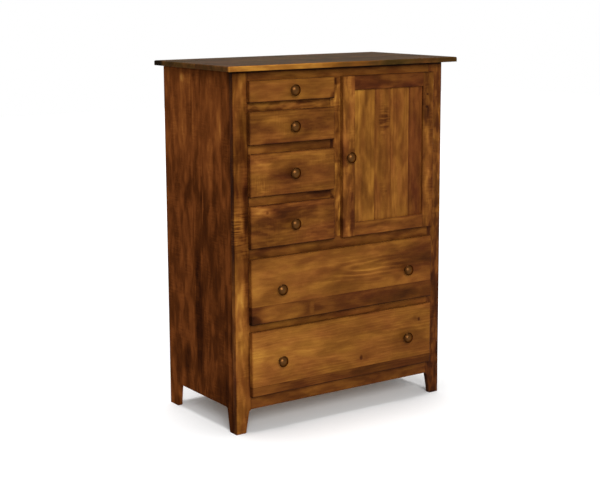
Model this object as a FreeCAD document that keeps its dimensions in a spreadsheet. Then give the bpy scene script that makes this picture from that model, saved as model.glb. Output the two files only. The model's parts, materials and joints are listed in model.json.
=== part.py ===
import FreeCAD, Part
import os
import re

import Sketcher

# A tall chest on four short tapered legs: four small drawers beside a cupboard
# with a planked door, and two wide drawers below them.
#
# X runs to the right along the front, Y to the back and Z up. The origin is on
# the floor, under the middle of the whole piece with its knobs. Lengths are in mm.

doc = FreeCAD.newDocument("gentlemans_chest")
sheet = doc.addObject("Spreadsheet::Sheet", "dims")

# Driving sizes, by the piece that carries them
SIZES = {
    # the case as a whole
    "case_width": 972,
    "case_depth": 504,
    "leg_height": 89,
    # the face frame: rails from the floor up, and the openings between them
    "bottom_rail_height": 55.5,
    "deep_opening_height": 237,
    "lower_rail_height": 38.5,
    "waist_rail_height": 49,
    "middle_opening_height": 148,
    "drawer_rail_height": 43,
    "shallow_opening_height": 111,
    "top_opening_height": 69,
    "top_rail_height": 42,
    "frame_thickness": 20,
    "stile_width": 65,
    "mid_stile_width": 50,
    "small_opening_width": 366,
    "shoulder_width": 57,
    "shoulder_drop": 7,
    "stile_foot_width": 42,
    # the solid sides, whose lower edge is cut out between two legs
    "side_thickness": 20,
    "side_arch_height": 93,
    "side_leg_width": 64.5,
    "side_foot_width": 47,
    "rear_leg_width": 70,
    "rear_foot_width": 58,
    "arch_radius": 9,
    # the top board
    "top_thickness": 19,
    "top_side_overhang": 40,
    "top_front_overhang": 46.5,
    "top_edge_radius": 5,
    "top_under_radius": 2,
    # boards inside the case
    "back_thickness": 6,
    "back_rabbet": 10,
    "waist_board_thickness": 18,
    "partition_thickness": 18,
    "stretcher_depth": 60,
    "stretcher_thickness": 18,
    "rear_rail_height": 58,
    "rear_rail_thickness": 18,
    "post_depth": 40,
    "rear_post_space": 78,
    # screws that hold the top down
    "top_screw_radius": 2.1,
    "top_screw_bite": 12,
    "top_screw_head_radius": 4,
    "top_screw_head_height": 3,
    "top_screw_inset": 110,
    # shelves behind the door, and the pins that carry them
    "shelf_thickness": 18,
    "shelf_setback": 30,
    "shelf_side_play": 1.5,
    "shelf_back_play": 3,
    "lower_shelf_height": 205,
    "upper_shelf_height": 415,
    "pin_radius": 2.5,
    "pin_reach": 9,
    "pin_depth": 8,
    "pin_inset": 60,
    # the drawer fronts and the door, which lie over the face frame
    "front_thickness": 20,
    "front_gap": 2,
    "front_lap": 5,
    "door_hinge_lap": 10,
    "front_edge_radius": 3,
    "back_edge_radius": 1,
    # knobs, each held by a screw from behind
    "knob_reach": 30,
    "knob_radius": 21,
    "knob_base_radius": 10.5,
    "knob_neck_radius": 8.2,
    "knob_neck_length": 9,
    "knob_flare_length": 8,
    "knob_dome_radius": 28,
    "knob_socket_depth": 12,
    "wide_knob_inset": 126.5,
    "knob_screw_radius": 2,
    "knob_screw_play": 0.25,
    "knob_screw_head_radius": 4.5,
    "knob_screw_head_height": 2.5,
    # the dovetailed drawer boxes
    "box_rear_space": 50,
    "box_side_thickness": 13,
    "box_end_thickness": 15,
    "box_floor_thickness": 6,
    "box_floor_raise": 9,
    "box_groove_depth": 6,
    "box_clear_under": 8,
    "box_clear_over": 8,
    "dovetail_pitch": 34,
    "tail_end_share": 0.64,
    "tail_base_share": 0.42,
    # telescopic drawer slides: a channel on the case and a runner on the box
    "slide_space": 12.7,
    "slide_height": 35,
    "slide_wall": 1.2,
    "slide_running_gap": 0.4,
    "slide_side_gap": 0.6,
    "slide_setback": 3,
    # the framed door with its tongued planks
    "door_member_width": 54,
    "door_panel_thickness": 9,
    "door_panel_recess": 7,
    "door_groove_depth": 8,
    "plank_end_play": 1,
    "plank_tongue_length": 5,
    "plank_tongue_thickness": 3,
    "plank_bevel": 2,
    # wrap-round hinges between the right stile and the door
    "hinge_height": 60,
    "hinge_inset": 95,
    "hinge_middle_height": 28,
    "leaf_thickness": 1.4,
    "leaf_play": 0.5,
    "door_leaf_width": 30,
    "wrap_depth": 16,
    "barrel_radius": 2.8,
    "barrel_door_gap": 0.2,
    "barrel_frame_gap": 0.5,
    "hinge_pin_radius": 1.5,
    "hinge_pin_play": 0.05,
    "hinge_pin_head_height": 1.5,
    # magnetic catch on the middle stile, and its strike plate on the door
    "catch_width": 13,
    "catch_depth": 16,
    "catch_height": 46,
    "catch_rise": 120,
    "strike_thickness": 1,
    "strike_width": 11,
    "strike_gap": 0.4,
}

# How the door's width of planks is divided, from left to right
PLANK_SHARES = (0.31, 0.22, 0.26, 0.21)

# Places and sums that several pieces share, in terms of the sizes above
DERIVED = {
    "half_width": "case_width / 2",
    "face": "(front_gap + front_thickness + knob_reach - case_depth) / 2",
    "frame_back": "face + frame_thickness",
    "case_back": "face + case_depth",
    "back_front": "case_back - back_thickness",
    "inner_left": "side_thickness - half_width",
    "inner_right": "half_width - side_thickness",
    "open_left": "stile_width - half_width",
    "open_right": "half_width - stile_width",
    "mid_left": "open_left + small_opening_width",
    "mid_right": "mid_left + mid_stile_width",
    "deep_low": "leg_height + bottom_rail_height",
    "lower_rail_low": "deep_low + deep_opening_height",
    "deep_high": "lower_rail_low + lower_rail_height",
    "waist_low": "deep_high + deep_opening_height",
    "waist_top": "waist_low + waist_rail_height",
    "rail_one_low": "waist_top + middle_opening_height",
    "third_low": "rail_one_low + drawer_rail_height",
    "rail_two_low": "third_low + middle_opening_height",
    "second_low": "rail_two_low + drawer_rail_height",
    "rail_three_low": "second_low + shallow_opening_height",
    "first_low": "rail_three_low + drawer_rail_height",
    "door_opening_top": "first_low + top_opening_height",
    "case_top": "door_opening_top + top_rail_height",
    "stretcher_low": "case_top - stretcher_thickness",
    "waist_board_low": "waist_top - waist_board_thickness",
    "front_back": "face - front_gap",
    "front_face": "front_back - front_thickness",
    "door_left": "mid_right - front_lap",
    "door_right": "open_right + door_hinge_lap",
    "door_low": "waist_top - front_lap",
    "door_height": "door_opening_top + front_lap - door_low",
    "box_length": "back_front - box_rear_space - front_back",
    "slide_length": "box_length - slide_setback - front_gap",
    "slide_reach": "slide_space - slide_wall - slide_side_gap",
    "runner_height": "slide_height - 2 * slide_wall - 2 * slide_running_gap",
    "panel_left": "door_left + door_member_width",
    "panel_width": "door_right - door_left - 2 * door_member_width",
    "hinge_x": "door_right + barrel_door_gap + barrel_radius",
    "hinge_y": "face - barrel_frame_gap - barrel_radius",
}

# Drawers from the top down: floor of the opening, its height, its right edge
DRAWERS = {
    "drawer_1": ("first_low", "top_opening_height", "mid_left"),
    "drawer_2": ("second_low", "shallow_opening_height", "mid_left"),
    "drawer_3": ("third_low", "middle_opening_height", "mid_left"),
    "drawer_4": ("waist_top", "middle_opening_height", "mid_left"),
    "drawer_5": ("deep_high", "deep_opening_height", "open_right"),
    "drawer_6": ("deep_low", "deep_opening_height", "open_right"),
}

# How close two lengths are when they count as the same
SAME = 0.001

nodes = {}

for row, (alias, size) in enumerate(SIZES.items(), start=1):
    sheet.set("A%d" % row, alias)
    sheet.set("B%d" % row, str(size))
    sheet.setAlias("B%d" % row, alias)
doc.recompute()


# Formulas


def formula(text):
    """Spell out the derived names in a formula, and point size names at the sheet."""
    def spell(match):
        name = match.group(0)
        if name in DERIVED:
            return "(" + formula(DERIVED[name]) + ")"
        return "dims." + name
    return re.sub("[a-z_]+", spell, str(text))


def value(text):
    """The number that a formula gives now."""
    result = sheet.evalExpression(formula(text))
    return float(getattr(result, "Value", result))


def bind(item, **formulas):
    """Bind properties of an object to formulas."""
    for name, text in formulas.items():
        item.setExpression(name, formula(text))


def put(item, x, y, z):
    """Place an object at a point given by three formulas."""
    for axis, text in zip("xyz", (x, y, z)):
        item.setExpression("Placement.Base." + axis, formula(text))


def named(item, label):
    """Give an object its label, and keep it as a finished node."""
    item.Label = label
    nodes[label] = item
    return item


# Plain solids


def box(name, size, place):
    """A box from its three lengths and its lowest corner."""
    item = doc.addObject("Part::Box", name)
    bind(item, Length=size[0], Width=size[1], Height=size[2])
    put(item, *place)
    return item


def rod(name, radius, length, place, along):
    """A round rod from a point, along X, Y or Z."""
    item = doc.addObject("Part::Cylinder", name)
    bind(item, Radius=radius, Height=length)
    turns = {"X": ((0, 1, 0), 90), "Y": ((1, 0, 0), -90), "Z": ((0, 0, 1), 0)}
    axis, angle = turns[along]
    item.Placement = FreeCAD.Placement(
        FreeCAD.Vector(), FreeCAD.Rotation(FreeCAD.Vector(*axis), angle))
    put(item, *place)
    return item


def group(name, items):
    """Several separate solids kept as one object."""
    item = doc.addObject("Part::Compound", name)
    item.Links = list(items)
    return item


def joined(name, items):
    """Several solids fused into one."""
    item = doc.addObject("Part::MultiFuse", name)
    item.Shapes = list(items)
    return item


def cut(name, base, *tools):
    """A solid less the others."""
    item = doc.addObject("Part::Cut", name)
    item.Base = base
    item.Tool = tools[0] if len(tools) == 1 else group(name + "_tools", tools)
    return item


# Bodies drawn as a closed outline and padded


def sketch_on(body, name, plane):
    """A sketch on one of a body's own origin planes."""
    sketch = body.newObject("Sketcher::SketchObject", name)
    for feature in body.Origin.OriginFeatures:
        if feature.Role == plane:
            sketch.AttachmentSupport = [(feature, "")]
    sketch.MapMode = "FlatFace"
    return sketch


def draw_outline(sketch, points):
    """Draw a closed outline through points, each held by two formulas."""
    spots = [FreeCAD.Vector(value(x), value(y), 0) for x, y in points]
    count = len(points)
    for index in range(count):
        sketch.addGeometry(Part.LineSegment(spots[index], spots[(index + 1) % count]), False)
    for index in range(count):
        sketch.addConstraint(
            Sketcher.Constraint("Coincident", index, 2, (index + 1) % count, 1))
    for index, (spot, point) in enumerate(zip(spots, points)):
        for kind, length, text in zip(("DistanceX", "DistanceY"), spot, point):
            held = sketch.addConstraint(Sketcher.Constraint(kind, -1, 1, index, 1, length))
            sketch.setExpression("Constraints[%d]" % held, formula(text))


def prism(name, plane, points, length, place):
    """A body padded from an outline, towards +X, +Y or +Z."""
    body = doc.addObject("PartDesign::Body", name)
    sketch = sketch_on(body, name + "_outline", plane)
    draw_outline(sketch, points)
    pad = body.newObject("PartDesign::Pad", name + "_pad")
    pad.Profile = sketch
    pad.Reversed = plane == "XZ_Plane"
    bind(pad, Length=length)
    put(body, *place)
    return body


def rectangle(width, height):
    """The corners of a rectangle with one corner at the origin."""
    return [("0", "0"), (width, "0"), (width, height), ("0", height)]


def flat_at(axis, place):
    """A test for edges that lie in the plane where one coordinate has a value."""
    where = value(place)

    def test(edge):
        return all(abs(vertex.Point[axis] - where) < SAME for vertex in edge.Vertexes)
    return test


def edge_runs_along(edge, axis):
    """Whether a straight edge runs along one axis only."""
    start, end = [vertex.Point for vertex in edge.Vertexes]
    return all(abs(start[other] - end[other]) < SAME for other in range(3) if other != axis)


def ease(body, radius, test):
    """Round the edges of a body's last feature that pass a test."""
    doc.recompute()
    base = body.Tip
    edges = base.Shape.Edges
    names = ["Edge%d" % (index + 1) for index, edge in enumerate(edges) if test(edge)]
    fillet = body.newObject("PartDesign::Fillet", body.Name + "_eased")
    fillet.Base = (base, names)
    bind(fillet, Radius=radius)
    return fillet


def bore(body, name, plane, centres, radius, depth):
    """Round holes from one of a body's origin planes into the body."""
    sketch = sketch_on(body, name + "_centres", plane)
    for index, (x, y) in enumerate(centres):
        middle = FreeCAD.Vector(value(x), value(y), 0)
        sketch.addGeometry(Part.Circle(middle, FreeCAD.Vector(0, 0, 1), value(radius)), False)
        held = sketch.addConstraint(Sketcher.Constraint("Radius", index, value(radius)))
        sketch.setExpression("Constraints[%d]" % held, formula(radius))
        for kind, length, text in zip(("DistanceX", "DistanceY"), middle, (x, y)):
            held = sketch.addConstraint(Sketcher.Constraint(kind, -1, 1, index, 3, length))
            sketch.setExpression("Constraints[%d]" % held, formula(text))
    pocket = body.newObject("PartDesign::Pocket", name)
    pocket.Profile = sketch
    pocket.Reversed = plane != "XZ_Plane"
    bind(pocket, Length=depth)
    return pocket


# The face frame


def make_stile(label, hand):
    """An outer stile, which runs to the floor as the front of a tapered leg."""
    sign = {"left": "", "right": "-"}[hand]
    edge = {"left": "-half_width", "right": "half_width"}[hand]
    outline = [
        ("0", "0"),
        (sign + "stile_foot_width", "0"),
        (sign + "shoulder_width", "leg_height - shoulder_drop"),
        (sign + "stile_width", "leg_height"),
        (sign + "stile_width", "case_top"),
        ("0", "case_top"),
    ]
    named(prism(label, "XZ_Plane", outline, "frame_thickness", (edge, "face", "0")), label)


def make_face_frame():
    """Stiles and rails, flush at the front."""
    make_stile("left_stile", "left")
    make_stile("right_stile", "right")
    named(box("mid_stile", ("mid_stile_width", "frame_thickness", "door_opening_top - waist_top"),
              ("mid_left", "face", "waist_top")), "mid_stile")
    full = "open_right - open_left"
    rails = {
        "bottom_rail": (full, "bottom_rail_height", "leg_height"),
        "lower_rail": (full, "lower_rail_height", "lower_rail_low"),
        "waist_rail": (full, "waist_rail_height", "waist_low"),
        "top_rail": (full, "top_rail_height", "door_opening_top"),
        "drawer_rail_lower": ("small_opening_width", "drawer_rail_height", "rail_one_low"),
        "drawer_rail_middle": ("small_opening_width", "drawer_rail_height", "rail_two_low"),
        "drawer_rail_upper": ("small_opening_width", "drawer_rail_height", "rail_three_low"),
    }
    for label, (length, height, low) in rails.items():
        named(box(label, (length, "frame_thickness", height), ("open_left", "face", low)), label)


# The sides, back and top


def pin_centres():
    """Depths and heights of the four shelf pins on one side of the cupboard."""
    front = "shelf_setback + pin_inset"
    rear = "case_depth - frame_thickness - back_thickness - pin_inset"
    heights = ("waist_top + lower_shelf_height - pin_radius",
               "waist_top + upper_shelf_height - pin_radius")
    return [(depth, height) for height in heights for depth in (front, rear)]


def make_side(label, hand):
    """A solid side: two legs with an arch between them, and a rabbet for the back."""
    depth = "case_depth - frame_thickness"
    outline = [
        ("0", "0"),
        ("side_foot_width - frame_thickness", "0"),
        ("side_leg_width - frame_thickness", "side_arch_height"),
        (depth + " - rear_leg_width", "side_arch_height"),
        (depth + " - rear_foot_width", "0"),
        (depth, "0"),
        (depth, "case_top"),
        ("0", "case_top"),
    ]
    left = {"left": "-half_width", "right": "inner_right"}[hand]
    body = prism(label + "_board", "YZ_Plane", outline, "side_thickness",
                 (left, "frame_back", "0"))
    arch = flat_at(2, "side_arch_height")
    ease(body, "arch_radius", lambda edge: arch(edge) and edge_runs_along(edge, 0))
    rabbet_x = {"left": "inner_left - back_rabbet", "right": "inner_right"}[hand]
    rabbet = box(label + "_rabbet", ("back_rabbet", "back_thickness", "case_top - side_arch_height"),
                 (rabbet_x, "back_front", "side_arch_height"))
    tools = [rabbet]
    if hand == "right":
        for index, (back, up) in enumerate(pin_centres()):
            tools.append(rod("%s_pin_hole_%d" % (label, index), "pin_radius", "pin_depth",
                             ("inner_right", "frame_back + " + back, up), "X"))
    named(cut(label, body, *tools), label)


def make_back():
    """The thin back, let into the sides' rabbets."""
    named(box("back_panel",
              ("inner_right - inner_left + 2 * back_rabbet", "back_thickness",
               "case_top - side_arch_height"),
              ("inner_left - back_rabbet", "back_front", "side_arch_height")), "back_panel")


def top_screws_across():
    """Places of the top's screws across the case, from left to right."""
    return ("inner_left + top_screw_inset", "mid_left - top_screw_inset",
            "mid_right + top_screw_inset", "inner_right - top_screw_inset")


def top_screw_places():
    """Middles of the top's screws, front row and back row."""
    front = "frame_back + stretcher_depth / 2"
    rear = "back_front - stretcher_depth / 2"
    return [(x, y) for y in (front, rear) for x in top_screws_across()]


def make_top():
    """The top board with rounded edges, and blind holes for its screws."""
    left = "-half_width - top_side_overhang"
    front = "face - top_front_overhang"
    width = "case_width + 2 * top_side_overhang"
    depth = "case_depth + top_front_overhang"
    body = prism("top_blank", "XY_Plane", rectangle(width, depth), "top_thickness",
                 (left, front, "case_top"))
    ease(body, "top_edge_radius", flat_at(2, "top_thickness"))
    ease(body, "top_under_radius", flat_at(2, "0"))
    centres = [(x + " - (" + left + ")", y + " - (" + front + ")") for x, y in top_screw_places()]
    bore(body, "top_screw_holes", "XY_Plane", centres, "top_screw_radius", "top_screw_bite")
    named(body, "top_board")


# Boards and rails inside the case


def make_inside():
    """The waist board, partition, stretchers, rear rail and the posts for the slides."""
    inside = "inner_right - inner_left"
    depth = "back_front - frame_back"
    named(box("waist_board", (inside, depth, "waist_board_thickness"),
              ("inner_left", "frame_back", "waist_board_low")), "waist_board")
    blank = box("partition_blank",
                ("partition_thickness", depth, "stretcher_low - waist_top"),
                ("mid_left", "frame_back", "waist_top"))
    holes = [rod("partition_pin_hole_%d" % index, "pin_radius", "pin_depth",
                 ("mid_left + partition_thickness - pin_depth", "frame_back + " + back, up), "X")
             for index, (back, up) in enumerate(pin_centres())]
    named(cut("partition", blank, *holes), "partition")
    stretchers = []
    for spot, front in (("front", "frame_back"), ("rear", "back_front - stretcher_depth")):
        name = spot + "_stretcher"
        blank = box(name + "_blank", (inside, "stretcher_depth", "stretcher_thickness"),
                    ("inner_left", front, "stretcher_low"))
        middle = front + " + stretcher_depth / 2"
        holes = [rod("%s_hole_%d" % (name, index), "top_screw_radius", "stretcher_thickness",
                     (x, middle, "stretcher_low"), "Z")
                 for index, x in enumerate(top_screws_across())]
        stretchers.append(cut(name, blank, *holes))
    named(group("top_stretchers", stretchers), "top_stretchers")
    named(box("rear_rail", (inside, "rear_rail_thickness", "rear_rail_height"),
              ("inner_left", "back_front - rear_rail_thickness", "side_arch_height")), "rear_rail")


def make_posts():
    """Upright packing pieces that bring the slides level with the frame's openings."""
    thick = "stile_width - side_thickness"
    places = {"front": "frame_back", "rear": "back_front - rear_post_space - post_depth"}
    stretches = {
        "lower": ("side_arch_height", "waist_board_low - side_arch_height"),
        "upper": ("waist_top", "stretcher_low - waist_top"),
    }
    layout = {"left": ("inner_left", ("lower", "upper")), "right": ("open_right", ("lower",))}
    for hand, (left, parts) in layout.items():
        posts = [box("%s_%s_%s_post" % (hand, part, spot),
                     (thick, "post_depth", stretches[part][1]),
                     (left, places[spot], stretches[part][0]))
                 for part in parts for spot in places]
        named(group(hand + "_posts", posts), hand + "_posts")


def make_top_screws():
    """Screws driven up through the stretchers into the top."""
    screws = []
    for index, (x, y) in enumerate(top_screw_places()):
        name = "top_screw_%d" % index
        shank = rod(name + "_shank", "top_screw_radius", "stretcher_thickness + top_screw_bite",
                    (x, y, "stretcher_low"), "Z")
        head = rod(name + "_head", "top_screw_head_radius", "top_screw_head_height",
                   (x, y, "stretcher_low - top_screw_head_height"), "Z")
        screws.append(joined(name, (shank, head)))
    named(group("top_screws", screws), "top_screws")


def make_shelves():
    """Two loose shelves on pins in the partition and the right side."""
    left = "mid_left + partition_thickness"
    for label, height in (("lower_shelf", "lower_shelf_height"),
                          ("upper_shelf", "upper_shelf_height")):
        body = prism(label, "XY_Plane",
                     rectangle("inner_right - (" + left + ") - 2 * shelf_side_play",
                               "back_front - frame_back - shelf_setback - shelf_back_play"),
                     "shelf_thickness",
                     (left + " + shelf_side_play", "frame_back + shelf_setback",
                      "waist_top + " + height))
        ease(body, "front_edge_radius", lambda edge: flat_at(1, "0")(edge)
             and edge_runs_along(edge, 0))
        named(body, label)
    pins = []
    for index, (back, up) in enumerate(pin_centres()):
        for hand, start in (("left", left + " - pin_depth"), ("right", "inner_right - pin_reach")):
            pins.append(rod("shelf_pin_%s_%d" % (hand, index), "pin_radius",
                            "pin_depth + pin_reach", (start, "frame_back + " + back, up), "X"))
    named(group("shelf_pins", pins), "shelf_pins")


# Knobs and fronts


def make_knob(name, x, z):
    """A turned mushroom knob on a front, as a solid of revolution."""
    outline = [
        ("0", "0"),
        ("knob_base_radius", "0"),
        ("knob_neck_radius", "knob_neck_length / 2"),
        ("knob_neck_radius", "knob_neck_length"),
        ("knob_radius", "knob_neck_length + knob_flare_length"),
        ("knob_radius", "knob_reach"),
        ("0", "knob_reach"),
    ]
    body = doc.addObject("PartDesign::Body", name + "_turning")
    sketch = sketch_on(body, name + "_profile", "XY_Plane")
    draw_outline(sketch, outline)
    turned = body.newObject("PartDesign::Revolution", name + "_turned")
    turned.Profile = sketch
    turned.ReferenceAxis = (sketch, ["V_Axis"])
    turned.Angle = 360
    body.Placement = FreeCAD.Placement(
        FreeCAD.Vector(), FreeCAD.Rotation(FreeCAD.Vector(0, 0, 1), 180))
    put(body, x, "front_face", z)
    dome = doc.addObject("Part::Sphere", name + "_dome")
    bind(dome, Radius="knob_dome_radius")
    put(dome, x, "front_face - knob_reach + knob_dome_radius", z)
    blank = doc.addObject("Part::Common", name + "_blank")
    blank.Base = body
    blank.Tool = dome
    socket = rod(name + "_socket", "knob_screw_radius", "knob_socket_depth",
                 (x, "front_face - knob_socket_depth", z), "Y")
    return cut(name + "_head", blank, socket)


def make_knob_screw(name, x, z, back):
    """The screw that holds a knob, from the face that its head bears on."""
    shank = rod(name + "_shank", "knob_screw_radius",
                back + " - front_face + knob_socket_depth",
                (x, "front_face - knob_socket_depth", z), "Y")
    head = rod(name + "_cap", "knob_screw_head_radius", "knob_screw_head_height",
               (x, back, z), "Y")
    return joined(name, (shank, head))


def make_front(label, left, low, width, height, holes):
    """A flat drawer front with eased edges, and clearance holes for its knob screws."""
    body = prism(label, "XZ_Plane", rectangle(width, height), "front_thickness",
                 (left, "front_face", low))
    ease(body, "front_edge_radius", flat_at(1, "0"))
    ease(body, "back_edge_radius", flat_at(1, "front_thickness"))
    bore(body, label + "_holes", "XZ_Plane", holes, "knob_screw_radius + knob_screw_play",
         "front_thickness")
    named(body, label)


# Drawer boxes


def tail_outline(length, height):
    """The outline of a drawer side with dovetails at both ends."""
    count = max(2, round(value(height) / value("dovetail_pitch")))
    front, rear = [], []
    for index in range(count):
        middle = "(%s) * %d / %d" % (height, 2 * index + 1, 2 * count)
        wide = "(%s) * tail_end_share / %d" % (height, 2 * count)
        slim = "(%s) * tail_base_share / %d" % (height, 2 * count)
        rear += [
            (length + " - box_end_thickness", middle + " - " + slim),
            (length, middle + " - " + wide),
            (length, middle + " + " + wide),
            (length + " - box_end_thickness", middle + " + " + slim),
        ]
        front += [
            ("box_end_thickness", middle + " - " + slim),
            ("0", middle + " - " + wide),
            ("0", middle + " + " + wide),
            ("box_end_thickness", middle + " + " + slim),
        ]
    low = [("box_end_thickness", "0"), (length + " - box_end_thickness", "0")]
    high = [(length + " - box_end_thickness", height), ("box_end_thickness", height)]
    return low + rear + high + front[::-1]


def make_box(name, left, low, width, height, knobs):
    """A drawer box: two dovetailed sides, two ends and a floor let into all four."""
    floor = box(name + "_floor",
                ("%s - 2 * box_side_thickness + 2 * box_groove_depth" % width,
                 "box_length - 2 * box_end_thickness + 2 * box_groove_depth",
                 "box_floor_thickness"),
                (left + " + box_side_thickness - box_groove_depth",
                 "front_back + box_end_thickness - box_groove_depth",
                 low + " + box_floor_raise"))
    sides = []
    for hand, x in (("left", left), ("right", "%s + %s - box_side_thickness" % (left, width))):
        board = prism("%s_%s_board" % (name, hand), "YZ_Plane",
                      tail_outline("box_length", height), "box_side_thickness",
                      (x, "front_back", low))
        sides.append(cut("%s_%s_side" % (name, hand), board, floor))
    ends = []
    for spot, y in (("front", "front_back"), ("rear", "front_back + box_length - box_end_thickness")):
        board = box("%s_%s_board" % (name, spot), (width, "box_end_thickness", height),
                    (left, y, low))
        holes = []
        if spot == "front":
            holes = [rod("%s_knob_hole_%d" % (name, index),
                         "knob_screw_radius + knob_screw_play", "box_end_thickness",
                         (x, "front_back", z), "Y")
                     for index, (x, z) in enumerate(knobs)]
        ends.append(cut("%s_%s_end" % (name, spot), board, floor, *sides, *holes))
    return group(name + "_box", sides + ends + [floor])


# Drawer slides


def slide_section(sign, reach, height):
    """A channel section with its web at the origin, open towards the given side."""
    return [
        ("0", "0"),
        (sign + reach, "0"),
        (sign + reach, "slide_wall"),
        (sign + "slide_wall", "slide_wall"),
        (sign + "slide_wall", height + " - slide_wall"),
        (sign + reach, height + " - slide_wall"),
        (sign + reach, height),
        ("0", height),
    ]


def make_slides(name, left, right, middle):
    """The pair of channels and the pair of runners of one drawer."""
    channels, runners = [], []
    hands = {
        "left": ("", "-", left, left + " + slide_space"),
        "right": ("-", "", right, right + " - slide_space"),
    }
    front = "face + slide_setback"
    for hand, (inward, outward, wall, drawer_side) in hands.items():
        channels.append(prism(
            "%s_%s_channel" % (name, hand), "XZ_Plane",
            slide_section(inward, "slide_reach", "slide_height"), "slide_length",
            (wall, front, middle + " - slide_height / 2")))
        runners.append(prism(
            "%s_%s_runner" % (name, hand), "XZ_Plane",
            slide_section(outward, "slide_reach", "runner_height"), "slide_length",
            (drawer_side, front, middle + " - runner_height / 2")))
    return channels, runners


def make_drawers():
    """Six drawers, each with a front, a box, one or two knobs and its slides."""
    channels = []
    for name, (floor, opening, right) in DRAWERS.items():
        left = "open_left"
        wide = right == "open_right"
        front_left = left + " - front_lap"
        front_low = floor + " - front_lap"
        middle = "(%s + %s / 2)" % (floor, opening)
        if wide:
            knobs = [(front_left + " + wide_knob_inset", middle),
                     (right + " + front_lap - wide_knob_inset", middle)]
        else:
            knobs = [("(%s + %s) / 2" % (left, right), middle)]
        holes = [("%s - (%s)" % (x, front_left), "%s - (%s)" % (z, front_low)) for x, z in knobs]
        make_front(name + "_front", front_left, front_low,
                   "%s - (%s) + 2 * front_lap" % (right, left), opening + " + 2 * front_lap", holes)
        drawer_box = make_box(name, left + " + slide_space", floor + " + box_clear_under",
                              "(%s - (%s) - 2 * slide_space)" % (right, left),
                              "(%s - box_clear_under - box_clear_over)" % opening, knobs)
        named(drawer_box, name + "_box")
        pieces = []
        for index, (x, z) in enumerate(knobs):
            pieces.append(make_knob("%s_knob_%d" % (name, index), x, z))
            pieces.append(make_knob_screw("%s_knob_screw_%d" % (name, index), x, z,
                                          "front_back + box_end_thickness"))
        knob_label = name + ("_knobs" if wide else "_knob")
        named(group(knob_label, pieces), knob_label)
        drawer_channels, runners = make_slides(name, left, right, middle)
        channels += drawer_channels
        named(group(name + "_runners", runners), name + "_runners")
    named(group("slide_channels", channels), "slide_channels")


# The door


def make_door_frame():
    """Two grooved stiles, and two rails whose tongues fill the ends of the grooves."""
    groove_front = "front_face + door_panel_recess"
    hands = {
        "door_knob_stile": ("door_left", "door_left + door_member_width - door_groove_depth"),
        "door_hinge_stile": ("door_right - door_member_width", "door_right - door_member_width"),
    }
    for label, (left, groove_left) in hands.items():
        body = prism(label + "_blank", "XZ_Plane", rectangle("door_member_width", "door_height"),
                     "front_thickness", (left, "front_face", "door_low"))
        outer = flat_at(0, "0" if label == "door_knob_stile" else "door_member_width")
        ends = [flat_at(2, "0"), flat_at(2, "door_height")]
        front = flat_at(1, "0")
        ease(body, "front_edge_radius",
             lambda edge: front(edge) and (outer(edge) or any(end(edge) for end in ends)))
        groove = box(label + "_groove", ("door_groove_depth", "door_panel_thickness", "door_height"),
                     (groove_left, groove_front, "door_low"))
        tools = [groove]
        if label == "door_knob_stile":
            tools.append(rod(label + "_hole", "knob_screw_radius + knob_screw_play",
                             "front_thickness",
                             ("door_left + door_member_width / 2", "front_face",
                              "door_low + door_height / 2"), "Y"))
        named(cut(label, body, *tools), label)
    rails = {
        "door_bottom_rail": ("door_low", "door_low + door_member_width - door_groove_depth", "0"),
        "door_top_rail": ("door_low + door_height - door_member_width",
                          "door_low + door_height - door_member_width", "door_member_width"),
    }
    for label, (low, groove_low, edge_place) in rails.items():
        body = prism(label + "_blank", "XZ_Plane", rectangle("panel_width", "door_member_width"),
                     "front_thickness", ("panel_left", "front_face", low))
        front = flat_at(1, "0")
        outer = flat_at(2, edge_place)
        ease(body, "front_edge_radius", lambda edge: front(edge) and outer(edge))
        tongue = box(label + "_tongue",
                     ("panel_width + 2 * door_groove_depth", "door_panel_thickness",
                      "door_member_width"),
                     ("panel_left - door_groove_depth", groove_front, low))
        groove = box(label + "_groove",
                     ("panel_width + 2 * door_groove_depth", "door_panel_thickness",
                      "door_groove_depth"),
                     ("panel_left - door_groove_depth", groove_front, groove_low))
        named(cut(label, joined(label + "_tongued", (body, tongue)), groove), label)


def make_planks():
    """Tongued planks of random width, with a shallow V where two meet."""
    held_width = "(panel_width + 2 * (door_groove_depth - plank_end_play))"
    thick = "door_panel_thickness"
    tongue_near = "(%s - plank_tongue_thickness) / 2" % thick
    tongue_far = "(%s + plank_tongue_thickness) / 2" % thick
    planks = []
    start_share = 0
    last = len(PLANK_SHARES) - 1
    for index, share in enumerate(PLANK_SHARES):
        width = "%s * %s" % (held_width, share)
        left = [("0", "0"), ("0", thick)]
        if index > 0:
            left = [
                ("plank_bevel", "0"), ("0", "plank_bevel"), ("0", tongue_near),
                ("plank_tongue_length", tongue_near), ("plank_tongue_length", tongue_far),
                ("0", tongue_far), ("0", thick),
            ]
        right = [(width, thick), (width, "0")]
        if index < last:
            tip = width + " + plank_tongue_length"
            right = [
                (width, thick), (width, tongue_far), (tip, tongue_far), (tip, tongue_near),
                (width, tongue_near), (width, "plank_bevel"), (width + " - plank_bevel", "0"),
            ]
        planks.append(prism(
            "door_plank_%d" % index, "XY_Plane", left + right,
            "door_height - 2 * door_member_width + 2 * (door_groove_depth - plank_end_play)",
            ("panel_left - door_groove_depth + plank_end_play + %s * %s" % (held_width, start_share),
             "front_face + door_panel_recess",
             "door_low + door_member_width - door_groove_depth + plank_end_play")))
        start_share += share
    named(group("door_planks", planks), "door_planks")


def make_door_knob():
    """The door's knob, half way up its free stile."""
    x, z = "door_left + door_member_width / 2", "door_low + door_height / 2"
    knob = make_knob("door_knob", x, z)
    screw = make_knob_screw("door_knob_screw", x, z, "front_back")
    named(group("door_knob", (knob, screw)), "door_knob")


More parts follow.
